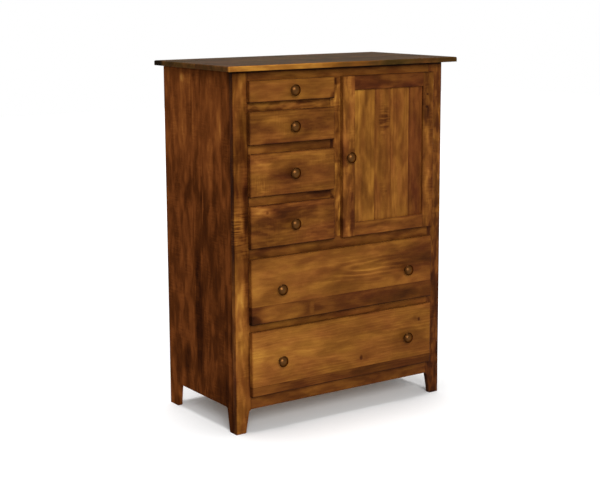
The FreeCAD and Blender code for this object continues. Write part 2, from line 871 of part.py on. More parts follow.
def hinge_lows():
    """Heights of the lower ends of the two hinges."""
    return ("door_low + hinge_inset - hinge_height / 2",
            "door_low + door_height - hinge_inset - hinge_height / 2")


def knuckle(name, low, height):
    """One knuckle of a hinge's barrel, and the bore that the pin needs in it."""
    sleeve = rod(name + "_sleeve", "barrel_radius", height, ("hinge_x", "hinge_y", low), "Z")
    hole = rod(name + "_bore", "hinge_pin_radius + hinge_pin_play", height,
               ("hinge_x", "hinge_y", low), "Z")
    return sleeve, hole


def make_hinges():
    """Two hinges: a leaf wrapped round the stile's edge, a leaf on the door, and a pin."""
    case_leaves, door_leaves, pins = [], [], []
    for index, low in enumerate(hinge_lows()):
        end_height = "(hinge_height - hinge_middle_height) / 2"
        middle_low = "%s + %s" % (low, end_height)
        name = "hinge_%d" % index
        wrap_left = "open_right - leaf_thickness"
        wrap_corner = (wrap_left, "face - leaf_thickness", middle_low)
        plate = box(name + "_case_plate",
                    ("hinge_x - (%s)" % wrap_left, "leaf_thickness", "hinge_middle_height"),
                    wrap_corner)
        wrap = box(name + "_wrap",
                   ("leaf_thickness", "wrap_depth + leaf_thickness", "hinge_middle_height"),
                   wrap_corner)
        sleeve, hole = knuckle(name + "_case", middle_low, "hinge_middle_height")
        case_leaves.append(cut(name + "_case_leaf",
                               joined(name + "_case_blank", (plate, wrap, sleeve)), hole))
        door_plate = box(name + "_door_plate",
                         ("hinge_x - door_right + door_leaf_width", "leaf_thickness",
                          "hinge_height"),
                         ("door_right - door_leaf_width", "front_back", low))
        ends = []
        holes = []
        for part, part_low in (("lower", low),
                               ("upper", "%s + hinge_middle_height" % middle_low)):
            sleeve, hole = knuckle("%s_%s" % (name, part), part_low, end_height)
            ends.append(sleeve)
            holes.append(hole)
        window = box(name + "_window",
                     ("hinge_x + barrel_radius - (%s) + leaf_play" % wrap_left,
                      "2 * barrel_radius + leaf_thickness + front_gap",
                      "hinge_middle_height + 2 * leaf_play"),
                     ("%s - leaf_play" % wrap_left, "hinge_y - barrel_radius",
                      "%s - leaf_play" % middle_low))
        blank = joined(name + "_door_blank", [door_plate] + ends)
        door_leaves.append(cut(name + "_door_leaf", blank, window, *holes))
        shank = rod(name + "_pin_shank", "hinge_pin_radius", "hinge_height",
                    ("hinge_x", "hinge_y", low), "Z")
        cap = rod(name + "_pin_cap", "barrel_radius", "hinge_pin_head_height",
                  ("hinge_x", "hinge_y", "%s + hinge_height" % low), "Z")
        pins.append(joined(name + "_pin", (shank, cap)))
    named(group("case_hinge_leaves", case_leaves), "case_hinge_leaves")
    named(group("door_hinge_leaves", door_leaves), "door_hinge_leaves")
    named(group("hinge_pins", pins), "hinge_pins")


def make_catch():
    """A magnetic catch on the middle stile's edge and its strike plate on the door."""
    low = "door_low + door_height / 2 + catch_rise"
    strike_back = "front_back + strike_thickness"
    named(box("door_catch",
              ("catch_width", "catch_depth", "catch_height"),
              ("mid_right", strike_back + " + strike_gap", low)), "door_catch")
    named(box("catch_strike", ("strike_width", "strike_thickness", "catch_height"),
              ("mid_right + (catch_width - strike_width) / 2", "front_back", low)), "catch_strike")


make_face_frame()
make_side("left_side", "left")
make_side("right_side", "right")
make_back()
make_top()
make_inside()
make_posts()
make_top_screws()
make_shelves()
make_drawers()
make_door_frame()
make_planks()
make_door_knob()
make_hinges()
make_catch()
doc.recompute()

for item in doc.Objects:
    if "Invalid" in item.State or "Error" in item.State:
        raise RuntimeError("%s did not build: %s" % (item.Name, item.State))
os.makedirs("parts", exist_ok=True)
for label, item in nodes.items():
    shape = item.Shape
    if shape.isNull() or not shape.isValid() or not shape.Solids:
        raise RuntimeError("%s has no valid solid" % label)
    shape.exportStep("parts/%s.step" % label)
print("%d nodes, %d solids" % (len(nodes), sum(len(item.Shape.Solids) for item in nodes.values())))
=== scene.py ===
# %% [markdown]
# A tall wooden chest, drawn for its picture. The chest comes in as a finished
# frame of solids: every board, drawer, hinge and slide has its size already.
# What is left is what the eye reads as wood and metal: the stain, the figure
# of each board, the turned knobs and the small hardware inside. All lengths
# in the frame are in metres, with X along the front, Y to the back and Z up.

import json
import math
import random

import bmesh
import bpy
from mathutils import Matrix, Vector

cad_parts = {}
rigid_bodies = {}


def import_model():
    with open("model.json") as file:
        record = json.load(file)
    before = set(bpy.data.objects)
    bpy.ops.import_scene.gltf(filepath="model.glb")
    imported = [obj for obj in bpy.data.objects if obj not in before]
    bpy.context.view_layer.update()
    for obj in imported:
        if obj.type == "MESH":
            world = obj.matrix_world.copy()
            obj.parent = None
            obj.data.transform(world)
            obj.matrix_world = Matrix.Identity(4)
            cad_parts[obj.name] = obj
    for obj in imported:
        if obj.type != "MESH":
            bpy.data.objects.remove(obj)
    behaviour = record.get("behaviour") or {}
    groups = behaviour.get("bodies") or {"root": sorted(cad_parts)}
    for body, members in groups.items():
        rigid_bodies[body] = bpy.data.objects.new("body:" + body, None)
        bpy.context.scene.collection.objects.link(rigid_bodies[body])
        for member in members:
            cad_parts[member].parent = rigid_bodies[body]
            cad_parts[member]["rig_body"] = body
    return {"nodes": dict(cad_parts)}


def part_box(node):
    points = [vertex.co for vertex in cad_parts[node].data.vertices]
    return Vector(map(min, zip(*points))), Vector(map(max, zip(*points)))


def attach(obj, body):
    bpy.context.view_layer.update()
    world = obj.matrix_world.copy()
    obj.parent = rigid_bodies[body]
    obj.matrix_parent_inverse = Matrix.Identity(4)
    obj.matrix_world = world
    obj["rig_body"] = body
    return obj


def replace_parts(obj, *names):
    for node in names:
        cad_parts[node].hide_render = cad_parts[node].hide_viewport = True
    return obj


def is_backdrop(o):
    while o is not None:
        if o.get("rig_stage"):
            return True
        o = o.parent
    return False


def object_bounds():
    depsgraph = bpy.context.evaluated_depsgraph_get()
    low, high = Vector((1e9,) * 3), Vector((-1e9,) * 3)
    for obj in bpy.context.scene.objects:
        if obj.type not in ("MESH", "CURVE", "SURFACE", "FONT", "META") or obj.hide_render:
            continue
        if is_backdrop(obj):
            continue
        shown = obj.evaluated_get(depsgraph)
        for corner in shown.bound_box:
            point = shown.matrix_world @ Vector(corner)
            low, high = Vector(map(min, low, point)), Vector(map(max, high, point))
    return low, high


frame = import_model()
cad_low, cad_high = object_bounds()
MM = 0.001
scene = bpy.context.scene
print("solids:", len(frame["nodes"]), "size:", [round(v, 4) for v in cad_high - cad_low])

# %% [markdown]
# The camera stands to the left of the chest and a little above its middle, so
# that it sees the left side, the front and a sliver of the top. It could be
# placed by eye and nudged, but its place was worked out from the corners of
# the chest in the picture, which gives the lens and the turn in one go.

# %% Camera
CAMERA_PLACE = (-2.990, -4.327, 1.650)
LENS = 80.61
TURN, DIP, LEAN = 34.275, 9.879, -0.295
SHIFT = -0.05
SENSOR = 36

camera = bpy.data.objects.new("camera", bpy.data.cameras.new("camera"))
scene.collection.objects.link(camera)
camera.data.lens = LENS
camera.data.sensor_width = SENSOR
camera.data.shift_y = SHIFT
turn, dip, lean = (math.radians(angle) for angle in (TURN, DIP, LEAN))
ahead = Vector((math.sin(turn) * math.cos(dip), math.cos(turn) * math.cos(dip), -math.sin(dip)))
across = Vector((math.cos(turn), -math.sin(turn), 0))
upward = across.cross(ahead)
across, upward = (math.cos(lean) * across + math.sin(lean) * upward,
                  math.cos(lean) * upward - math.sin(lean) * across)
camera.matrix_world = Matrix.Translation(CAMERA_PLACE) @ Matrix(
    (across, upward, -ahead)).transposed().to_4x4()
scene.camera = camera
print("camera", [round(v, 3) for v in camera.location], "lens", LENS)

# %% [markdown]
# Every new piece is shaped as a bmesh, and one function makes an object of it.
# Every colour below is written the way a paint chart gives it, as six hex
# digits. Blender mixes light in linear values, so a second function turns the
# digits into those. A third adds one node to a material: first its settings,
# then its inputs, each a plain value or a link. A last one ends a material.

# %% Pieces, colours and nodes


def new_piece(name, shape, corner):
    """An object of a finished shape, smooth except where faces meet at more than a corner's angle."""
    for face in shape.faces:
        face.smooth = True
    mesh = bpy.data.meshes.new(name)
    shape.to_mesh(mesh)
    shape.free()
    mesh.set_sharp_from_angle(angle=math.radians(corner))
    piece = bpy.data.objects.new(name, mesh)
    scene.collection.objects.link(piece)
    return piece


def linear(digits):
    """The linear colour of six hex digits."""
    shares = [int(digits[place:place + 2], 16) / 255 for place in (0, 2, 4)]
    return [share / 12.92 if share <= 0.04045 else ((share + 0.055) / 1.055) ** 2.4
            for share in shares] + [1]


def add(tree, kind, inputs=(), **settings):
    """Add a node with its settings and its inputs, by name or by place, and give its outputs."""
    node = tree.nodes.new("ShaderNode" + kind)
    for name, setting in settings.items():
        setattr(node, name, setting)
    for name, given in dict(inputs).items():
        if isinstance(given, bpy.types.NodeSocket):
            tree.links.new(given, node.inputs[name])
        else:
            node.inputs[name].default_value = given
    return node.outputs


def new_tree(owner):
    """The empty node tree of a material or a world."""
    owner.use_nodes = True
    owner.node_tree.nodes.clear()
    return owner.node_tree


def new_material(name):
    """A material, its empty tree, and the point of the piece that is looked at."""
    material = bpy.data.materials.new(name)
    tree = new_tree(material)
    return material, tree, add(tree, "TexCoord")["Object"]


def surface(material, tree, colour, rough, height, strength, depth, others):
    """End a material: its colour and roughness, the relief that a height gives, and other inputs."""
    relief = add(tree, "Bump", {"Height": height, "Strength": strength, "Distance": depth})[0]
    given = {"Base Color": colour, "Roughness": rough, "Normal": relief, **others}
    add(tree, "OutputMaterial", {"Surface": add(tree, "BsdfPrincipled", given)[0]})
    return material


print("middle brown is", [round(share, 3) for share in linear("7d4c1e")])

# %% [markdown]
# The picture was taken in a white studio. The white is not made by strong
# lamps, which would bleach the wood: the world is simply white where the
# camera, a gloss or a glass looks at it, and dimmer where it lights the wood.
# The floor is pale and keeps the soft shadow under the case.

# %% Studio
AMBIENT = 0.34
FLOOR_GLOW = 0.02
FLOOR_HALF = 12
WHITE = linear("ffffff")
PALE_GREY = linear("b4b4b4")


def looked_at(tree):
    """1 where the camera, a gloss or a glass looks, and 0 where light falls on something."""
    path = add(tree, "LightPath")
    looks = path["Is Camera Ray"]
    for other in ("Is Transmission Ray", "Is Glossy Ray"):
        looks = add(tree, "Math", {0: looks, 1: path[other]}, operation="MAXIMUM")[0]
    return looks


scene.view_settings.view_transform = "Standard"
world = bpy.data.worlds.new("studio")
scene.world = world
tree = new_tree(world)
strength = add(tree, "Mix", {"Factor": looked_at(tree), 2: AMBIENT, 3: 1.0})[0]
light = add(tree, "Background", {"Color": WHITE, "Strength": strength})[0]
add(tree, "OutputWorld", {"Surface": light})

plane = bmesh.new()
bmesh.ops.create_grid(plane, x_segments=1, y_segments=1, size=FLOOR_HALF)
floor = new_piece("floor", plane, corner=30)
floor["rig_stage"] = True
paper = bpy.data.materials.new("white_paper_sweep")
tree = new_tree(paper)
looks = looked_at(tree)
paint = add(tree, "Mix", {"Factor": looks, 6: PALE_GREY, 7: WHITE}, data_type="RGBA")[2]
matt = add(tree, "BsdfDiffuse", {"Color": paint})[0]
glow = add(tree, "Math", {0: looks, 1: FLOOR_GLOW}, operation="MULTIPLY")[0]
glow = add(tree, "Emission", {"Color": WHITE, "Strength": glow})[0]
add(tree, "OutputMaterial", {"Surface": add(tree, "AddShader", {0: matt, 1: glow})[0]})
floor.data.materials.append(paper)


def far_lamp(name, towards, strength, spread):
    """A large lamp far away, which lights the whole floor alike; spread is how wide it looks."""
    lamp = bpy.data.lights.new(name, "SUN")
    lamp.energy = strength
    lamp.angle = math.radians(spread)
    holder = bpy.data.objects.new(name, lamp)
    holder.matrix_world = Vector(towards).to_track_quat("-Z", "Y").to_matrix().to_4x4()
    scene.collection.objects.link(holder)


far_lamp("key_lamp", towards=(0.50, 1.0, -0.50), strength=2.2, spread=30)
far_lamp("top_lamp", towards=(0.0, -0.06, -1.0), strength=2.1, spread=26)

# %% [markdown]
# The chest is of brown maple, stained and given a satin lacquer. Maple takes
# stain unevenly: it turns cloudy, with pale and dark patches some centimetres
# wide, fine streaks along the grain, ripples across it where the fibres curl,
# and now and then a pin knot. A picture wrapped round the boards could show
# that, but it would stretch at the edges. A solid pattern is better: each
# board is cut out of its own block of pattern, so face, edge and end agree.
# First each point is turned into board measures: millimetres along the grain,
# across it, and down through the thickness.

# %% Board measures
FAR = (500, 5000)


def board_measures(tree, point, low, lay, seed):
    """Millimetres along, across and through a board, from its low corner and from a far one."""
    point = add(tree, "VectorMath", {0: point, 1: low}, operation="SUBTRACT")[0]
    point = add(tree, "VectorMath", {0: point, "Scale": 1 / MM}, operation="SCALE")[0]
    parts = add(tree, "SeparateXYZ", {0: point})
    spot = add(tree, "CombineXYZ", {axis: parts["XYZ".index(name)] for axis, name in enumerate(lay)})[0]
    draw = random.Random(seed)
    far = [draw.uniform(*FAR) for _ in range(3)]
    return spot, add(tree, "VectorMath", {0: spot, 1: far}, operation="ADD")[0]


def grain_field(tree, point, along, across, detail=3.0, rough=0.55):
    """Soft values between 0 and 1, whose features are so many millimetres along and across."""
    stretched = add(tree, "VectorMath", {0: point, 1: (along, across, across)}, operation="DIVIDE")[0]
    return add(tree, "TexNoise", {"Vector": stretched, "Scale": 1, "Detail": detail, "Roughness": rough})


def weigh(tree, value, amount):
    """A field about 0.5 made into a plus or minus share of the tone."""
    return add(tree, "Math", {0: value, 1: amount, 2: -amount / 2}, operation="MULTIPLY_ADD")[0]


def total(tree, first, *others):
    """The sum of several values."""
    for other in others:
        first = add(tree, "Math", {0: first, 1: other})[0]
    return first


print("a board's block of pattern starts", FAR, "mm away")

# %% [markdown]
# Wide panels are glued up from narrower boards, and where two meet the tone
# jumps and the figure breaks off. Stepped colour ramps do this: their steps
# are the boards, red carries the change of tone, and green and blue move the
# pattern along, so that no two boards of a panel look the same.

# %% Glued-up boards
BOARD_SHIFT = 3000


def glued_boards(tree, spot, wood, width, joints, seed):
    """Shift tone and pattern at the joints of a panel: shares of its width with a tone each."""
    draw = random.Random(seed)
    across = add(tree, "SeparateXYZ", {0: spot})[1]
    share = add(tree, "Math", {0: across, 1: width}, operation="DIVIDE")[0]
    ramp = add(tree, "ValToRGB", {0: share})[0]
    ramp.node.color_ramp.interpolation = "CONSTANT"
    steps = ramp.node.color_ramp.elements
    for place, (start, tone) in enumerate(joints):
        step = steps[place] if place < 2 else steps.new(start)
        step.position = start
        step.color = (tone + 0.5, draw.random(), draw.random(), 1)
    if len(joints) == 1:
        steps.remove(steps[1])
    parts = add(tree, "SeparateColor", {0: ramp})
    shift = add(tree, "CombineXYZ", {0: parts[1], 1: parts[2]})[0]
    shift = add(tree, "VectorMath", {0: shift, "Scale": BOARD_SHIFT}, operation="SCALE")[0]
    wood = add(tree, "VectorMath", {0: wood, 1: shift})[0]
    return wood, add(tree, "Math", {0: parts[0], 1: -0.5})[0]


print("boards differ by up to", BOARD_SHIFT, "mm")

# %% [markdown]
# A saw cuts through the tree's yearly cones of growth. Near the middle of a
# flat-sawn board their edges show as long arches, and further out as straight
# lines. The pattern is the distance to the heart of the tree, which slants a
# little against the board, divided by the width of a year's growth.

# %% Growth rings
LINE_SHARPNESS = 2.2


def growth_rings(tree, wavy, heart, slant, year):
    """Pale lines one year's growth apart, round a heart across and below the board."""
    parts = add(tree, "SeparateXYZ", {0: wavy})
    aside = add(tree, "Math", {0: parts[1], 1: -heart[0]})[0]
    below = add(tree, "Math", {0: parts[0], 1: slant, 2: heart[1]}, operation="MULTIPLY_ADD")[0]
    below = add(tree, "Math", {0: below, 1: parts[2]}, operation="SUBTRACT")[0]
    reach = add(tree, "CombineXYZ", {0: aside, 1: below})[0]
    reach = add(tree, "VectorMath", {0: reach}, operation="LENGTH")[1]
    years = add(tree, "Math", {0: reach, 1: math.tau / year}, operation="MULTIPLY")[0]
    wave = add(tree, "Math", {0: years}, operation="SINE")[0]
    wave = add(tree, "Math", {0: wave, 1: 0.5, 2: 0.5}, operation="MULTIPLY_ADD")[0]
    return add(tree, "Math", {0: wave, 1: LINE_SHARPNESS}, operation="POWER")[0]


print("line sharpness:", LINE_SHARPNESS)

# %% [markdown]
# The finisher's eye picks out single places: a pale patch, a dark corner, a
# knot. The same ovals also paint shade: thin dark strips where a shadow falls
# under or beside a part. A brush could paint them, but a soft oval drawn by sums
# stays sharp at any size. Each is given by its middle, as shares of the board's
# length and width, by half its own length and width in millimetres, and by the
# tone it adds. A last number, where there is one, is the share of it that is even.

# %% Places on a board
SOFT = dict(interpolation_type="SMOOTHSTEP")


def near(tree, point, middle, size, even=0.0):
    """1 at a place on the board, falling to 0 at its rim; size is half its length and width."""
    away = add(tree, "VectorMath", {0: point, 1: (*middle, 0)}, operation="SUBTRACT")[0]
    away = add(tree, "VectorMath", {0: away, 1: (1 / size[0], 1 / size[1], 0)}, operation="MULTIPLY")[0]
    away = add(tree, "VectorMath", {0: away}, operation="LENGTH")[1]
    return add(tree, "MapRange", {0: away, 1: 1.0, 2: even, 3: 0.0, 4: 1.0}, **SOFT)[0]


def mark(tree, point, board, along, across, half_length, half_width, amount, even=0.0, onto=0.0):
    """An amount added onto a value at a place on the board."""
    middle = (along * board[0], across * board[1])
    here = near(tree, point, middle, (half_length, half_width), even)
    return add(tree, "Math", {0: here, 1: amount, 2: onto}, operation="MULTIPLY_ADD")[0]


print("places fade by", SOFT)

# %% [markdown]
# Where the fibres of maple curl, they catch the light in short bars across the
# grain, a few millimetres apart. A field that is short along the grain and
# long across it makes the bars, and another says where they are strong.

# %% Curl
CURL_BARS = (6.5, 70, 1, 0.5)
CURL_PLACES = (90, 60, 2)
# Where a bar begins and is full, its tones, and where curl begins and is full
BAR_RANGE = {1: 0.4, 2: 0.62, 3: -0.12, 4: 0.22}
PLACE_RANGE = {1: 0.45, 2: 0.65}


def curled(tree, block, loose, board, curl, ripples):
    """Bright bars across the grain, by chance and at chosen places."""
    bars = grain_field(tree, block, *CURL_BARS)[0]
    bars = add(tree, "MapRange", {0: bars, **BAR_RANGE}, **SOFT)[0]
    strong = grain_field(tree, block, *CURL_PLACES)[0]
    strong = add(tree, "MapRange", {0: strong, **PLACE_RANGE, 4: curl}, **SOFT)[0]
    for ripple in ripples:
        strong = mark(tree, loose, board, *ripple, onto=strong)
    return add(tree, "Math", {0: bars, 1: strong}, operation="MULTIPLY")[0]


print("curl bars are", CURL_BARS[0], "mm apart")

# %% [markdown]
# A board's rims tell how it was finished. Glaze gathers along an eased edge
# and darkens it, sawn end grain drinks more stain, and thin panels are held by
# rows of small bright brads. All three follow from how far a point is from
# the ends and from the long edges.

# %% Rims of a board
# Millimetres, where each effect begins and ends
GLAZE_WIDTH = 7.0
END_GRAIN = (0.1, 0.9)
BRAD_HEAD = (1.4, 2.6)
BRAD_TONE = 0.5


def to_rims(tree, spot, board):
    """Millimetres from a point to the nearer end of its board, and to the nearer long edge."""
    gaps = []
    for part, size in zip(add(tree, "SeparateXYZ", {0: spot}), board):
        other = add(tree, "Math", {0: size, 1: part}, operation="SUBTRACT")[0]
        gaps.append(add(tree, "Math", {0: other, 1: part}, operation="MINIMUM")[0])
    return gaps


def glazed_edges(tree, spot, board, edge):
    """Darker rims, where the glaze gathers."""
    to_end, to_edge = to_rims(tree, spot, board)
    least = add(tree, "Math", {0: to_end, 1: to_edge}, operation="MINIMUM")[0]
    return add(tree, "MapRange", {0: least, 1: 0.0, 2: GLAZE_WIDTH, 3: -edge, 4: 0.0}, **SOFT)[0]


def end_grain(tree, spot, board, ends):
    """Dark end grain on the last millimetre at both ends."""
    to_end = to_rims(tree, spot, board)[0]
    return add(tree, "MapRange", {0: to_end, 1: END_GRAIN[0], 2: END_GRAIN[1], 3: -ends, 4: 0.0})[0]


def brad_heads(tree, spot, board, gap, inset):
    """Small bright heads in rows along the ends and the long edges, twice the gap apart."""
    parts = add(tree, "SeparateXYZ", {0: spot})
    rims = to_rims(tree, spot, board)
    heads = []
    for side in (0, 1):
        row = add(tree, "Math", {0: parts[side], 1: gap}, operation="PINGPONG")[0]
        aside = add(tree, "Math", {0: rims[1 - side], 1: -inset})[0]
        apart = add(tree, "CombineXYZ", {0: row, 1: aside})[0]
        apart = add(tree, "VectorMath", {0: apart}, operation="LENGTH")[1]
        head = {0: apart, 1: BRAD_HEAD[0], 2: BRAD_HEAD[1], 3: BRAD_TONE, 4: 0.0}
        heads.append(add(tree, "MapRange", head)[0])
    return heads


print("glaze gathers in the outer", GLAZE_WIDTH, "mm")

# %% [markdown]
# The tone of a point is a sum: the stain's own depth, clouds where it soaked
# in, streaks, rings, curl, flecks, patches with ragged outlines, even washes,
# painted shadow where shade falls under or beside a part, knots and rims. The
# sum runs through two ramps of stain colours, a golden and a reddish one, and a
# slow field mixes them, because brown maple swings between the two. The satin
# lacquer gives the eye only a faint, wide gloss.

# %% Stained maple
GOLDEN_STAIN = ("170a03", "361a08", "57300f", "7b4c1b", "9a6526", "b98132", "d8a552")
REDDISH_STAIN = ("150803", "331508", "532811", "75401b", "935727", "b17335", "cf9753")
STEPS = (0.0, 0.2, 0.38, 0.56, 0.72, 0.86, 1.0)
# How far the figure wanders and strays, in millimetres, and the size of the waves that move it
WANDER, STRAY, RAGGED = (40, 26, 14), (90, 60, 0), (70, 34, 0)
WANDER_WAVES, RAGGED_WAVES = (230, 75, 2), (45, 14, 3)
# The layers of the figure: millimetres along and across the grain, then detail and roughness
LAYERS = {
    "spots": (48, 17, 1.5, 0.5),
    "broad": (380, 110, 2),
    "lines": (150, 3.2, 3, 0.6),
    "bands": (320, 11, 3),
    "fibres": (26, 2.4, 2),
    "pores": (7, 0.45, 1),
    "hue": (170, 60, 2),
}
CLOUD_DETAIL = (1.6, 0.45)
# Where a cloud or a spot begins and is full
OUTLINES = {"clouds": (0.36, 0.64), "spots": (0.4, 0.66)}
WEIGHTS = {"clouds": 0.34, "broad": 0.6, "spots": 0.22, "lines": 0.32, "bands": 0.24, "fibres": 0.07}
PORE_RANGE = {1: 0.3, 2: 0.42, 3: -0.09, 4: 0.0}
# A knot's length and width in radii, its tone, and how much of it is even
KNOT_HALO, KNOT_HEART = (6, 3, -0.1), (1.2, 1.6, -0.24, 0.2)
HUE_REACH, HUE_SWING = 0.22, 0.45
LACQUER_RELIEF = 0.3 * MM


def colour_ramp(tree, value, colours):
    """A value turned to a colour by a ramp of hex colours."""
    ramp = add(tree, "ValToRGB", {0: value})[0]
    marks = ramp.node.color_ramp.elements
    for place, (step, colour) in enumerate(zip(STEPS, colours)):
        stop = marks[place] if place < 2 else marks.new(step)
        stop.position = step
        stop.color = linear(colour)
    return ramp


def grain_shift(tree, point, *size):
    """A soft random shift, up to half a unit each way."""
    field = grain_field(tree, point, *size)[1]
    return add(tree, "VectorMath", {0: field, 1: (0.5, 0.5, 0.5)}, operation="SUBTRACT")[0]


def wood(name, low, high, lay, seed, tone=0.5, red=0.35, cloud=0.5, blot=(125, 46), fleck=0.3,
         streak=0.3, ring=0.04, heart=(0.5, 40), slant=0.0, year=9.0, arches=(), curl=0.0,
         joints=((0.0, 0.0),), patches=(), washes=(), knots=(), ripples=(), brads=(), edge=0.0,
         ends=0.2, colours=(GOLDEN_STAIN, REDDISH_STAIN), rough=0.5, gloss=0.03):
    """A lacquered board between two corners, with its grain along the first axis of lay."""
    material, tree, point = new_material(name)
    board = [(high["XYZ".index(axis)] - low["XYZ".index(axis)]) / MM for axis in lay[:2]]
    spot, block = board_measures(tree, point, low, lay, seed)
    block, step = glued_boards(tree, spot, block, board[1], joints, seed)
    drift = grain_shift(tree, block, *WANDER_WAVES)
    rags = grain_shift(tree, block, *RAGGED_WAVES)
    wavy, grown, loose = (
        add(tree, "VectorMath", {0: drift, 1: reach, 2: start}, operation="MULTIPLY_ADD")[0]
        for reach, start in ((WANDER, block), (WANDER, spot), (STRAY, spot)))
    loose = add(tree, "VectorMath", {0: rags, 1: RAGGED, 2: loose}, operation="MULTIPLY_ADD")[0]

    layers = {layer: grain_field(tree, wavy, *size)[0] for layer, size in LAYERS.items()}
    layers["clouds"] = grain_field(tree, wavy, *blot, *CLOUD_DETAIL)[0]
    for layer, (start, full) in OUTLINES.items():
        layers[layer] = add(tree, "MapRange", {0: layers[layer], 1: start, 2: full}, **SOFT)[0]
    pores = add(tree, "MapRange", {0: layers["pores"], **PORE_RANGE})[0]
    rings = growth_rings(tree, grown, (heart[0] * board[1], heart[1]), slant, year)
    for arch in arches:
        ring = mark(tree, loose, board, *arch, onto=ring)

    parts = [add(tree, "Math", {0: step, 1: tone})[0]]
    for (layer, share), amount in zip(WEIGHTS.items(), (cloud, cloud, fleck, streak, streak, 1)):
        parts.append(weigh(tree, layers[layer], amount * share))
    parts += [pores, add(tree, "Math", {0: rings, 1: ring}, operation="MULTIPLY")[0]]
    if curl or ripples:
        parts.append(curled(tree, block, loose, board, curl, ripples))
    parts += [mark(tree, loose, board, *patch) for patch in patches]
    # Even marks: tone, and painted shadow where shade falls under or beside a part
    parts += [mark(tree, spot, board, *wash) for wash in washes]
    for along, across, radius in knots:
        for where, (longer, wider, *dark) in ((loose, KNOT_HALO), (spot, KNOT_HEART)):
            parts.append(mark(tree, where, board, along, across, radius * longer, radius * wider, *dark))
    for gap, inset in brads:
        parts += brad_heads(tree, spot, board, gap, inset)
    if edge:
        parts.append(glazed_edges(tree, spot, board, edge))
    if ends:
        parts.append(end_grain(tree, spot, board, ends))
    depth = total(tree, *parts)

    hue = add(tree, "MapRange", {0: layers["hue"], 1: 0.5 - HUE_REACH, 2: 0.5 + HUE_REACH,
                                 3: red - HUE_SWING, 4: red + HUE_SWING})[0]
    golden, reddish = (colour_ramp(tree, depth, stain) for stain in colours)
    colour = add(tree, "Mix", {"Factor": hue, 6: golden, 7: reddish}, data_type="RGBA")[2]
    sheen = add(tree, "MapRange", {0: layers["lines"], 1: 0.3, 2: 0.7, 3: rough + 0.06, 4: rough - 0.05})[0]
    return surface(material, tree, colour, sheen, layers["lines"], 0.25, LACQUER_RELIEF,
                   {"IOR": 1.5, "Specular IOR Level": gloss})


def refinish(node, material):
    """Give a solid of the frame another material."""
    materials = frame["nodes"][node].data.materials
    materials.clear()
    materials.append(material)


def finish_node(node, lay, seed, **look):
    """Give a board of the frame its own wood."""
    low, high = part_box(node)
    refinish(node, wood("maple_" + node, low, high, lay, seed, **look))


print("stain steps:", len(STEPS), "layers:", len(LAYERS) + 1)

# %% [markdown]
# Drawer fronts run with their grain from left to right, and each is cut from
# another board. The look of each is set one by one: where it is pale or dark in
# ragged patches or even washes, where it curls, and how its arches lie. A
# board's shares run from its left end and from its lower edge.

# %% Drawer fronts
# Painted shadow: the lowest few millimetres of every front and of the door's bottom rail are darkened,
# standing for the shade under a front
UNDER_EDGE_SHADOW = ((0.5, 0.0, 2000, 4.5, -0.3),)
FRONTS = {
    "drawer_1_front": dict(
        tone=0.6, red=0.3, cloud=0.32, fleck=0.2, edge=0.1,
        # The second mark darkens this front's lower edge further: painted shadow
        washes=((1.0, 0.1, 26, 22, -0.22, 0.4), (0.5, 0.0, 2000, 6, -0.15))),
    "drawer_2_front": dict(
        cloud=0.35, edge=0.1, curl=0.1,
        patches=((0.3, 0.64, 95, 40, 0.12), (0.74, 0.5, 120, 60, -0.07))),
    "drawer_3_front": dict(
        tone=0.53, red=0.4, cloud=0.3, edge=0.1, curl=0.1,
        patches=((0.11, 0.66, 60, 75, 0.12), (0.05, 0.84, 40, 22, 0.1), (0.1, 0.12, 60, 22, 0.16),
                 (0.44, 0.45, 110, 42, -0.13), (0.85, 0.76, 90, 28, 0.09)),
        washes=((0.11, 0.58, 52, 84, 0.02, 0.55), (0.42, 0.4, 95, 44, -0.02, 0.5),
                (0.45, 0.93, 330, 16, 0.07, 0.4)),
        ripples=((0.1, 0.25, 50, 46, 0.35),)),
    "drawer_4_front": dict(
        tone=0.49, red=0.4, cloud=0.35, fleck=0.4, edge=0.1, curl=0.1,
        patches=((0.4, 0.8, 80, 30, -0.16), (0.1, 0.86, 60, 22, 0.16), (0.55, 0.5, 60, 30, 0.12),
                 (0.85, 0.5, 90, 60, 0.05)),
        washes=((0.16, 0.84, 52, 20, 0.12, 0.4), (0.19, 0.82, 9, 8, -0.22, 0.2),
                (0.5, 0.95, 330, 12, 0.06, 0.4), (0.4, 0.72, 55, 30, -0.03, 0.4),
                (0.15, 0.4, 70, 60, -0.05, 0.5))),
    "drawer_5_front": dict(
        tone=0.585, cloud=0.3, fleck=0.2, edge=0.08, streak=0.42, ring=0.0,
        heart=(0.66, -52), slant=0.075, year=15, arches=((0.6, 0.62, 300, 70, 0.2),),
        joints=((0.0, -0.16), (0.27, 0.0)),
        patches=((0.18, 0.6, 260, 110, 0.09), (0.9, 0.68, 230, 100, -0.3), (0.85, 0.38, 60, 40, 0.12)),
        washes=((0.155, 0.14, 140, 40, 0.18, 0.6), (0.315, 0.13, 17, 30, 0.13, 0.3),
                (0.0, 0.05, 52, 28, -0.18, 0.6), (0.52, 0.5, 120, 90, -0.05, 0.5),
                (0.75, 0.12, 200, 32, -0.1, 0.5), (0.0, 0.62, 70, 100, 0.08, 0.3))),
    "drawer_6_front": dict(
        tone=0.585, red=0.3, cloud=0.25, fleck=0.2, edge=0.08, streak=0.55,
        joints=((0.0, -0.2), (0.15, 0.0)),
        patches=((0.2, 0.55, 300, 120, 0.12), (0.9, 0.5, 160, 90, -0.09)),
        washes=((0.08, 0.07, 140, 26, 0.1, 0.5), (0.75, 0.07, 250, 26, -0.06, 0.5),
                (0.0, 0.6, 75, 110, 0.14, 0.3)),
        knots=((0.59, 0.3, 9), (0.93, 0.76, 7))),
}
for seed, (node, look) in enumerate(FRONTS.items(), 11):
    # Each front also gets the painted shadow along its lower edge
    washes = look.pop("washes", ()) + UNDER_EDGE_SHADOW
    finish_node(node, "XZY", seed, ends=0.08, washes=washes, **look)
print("fronts:", len(FRONTS))
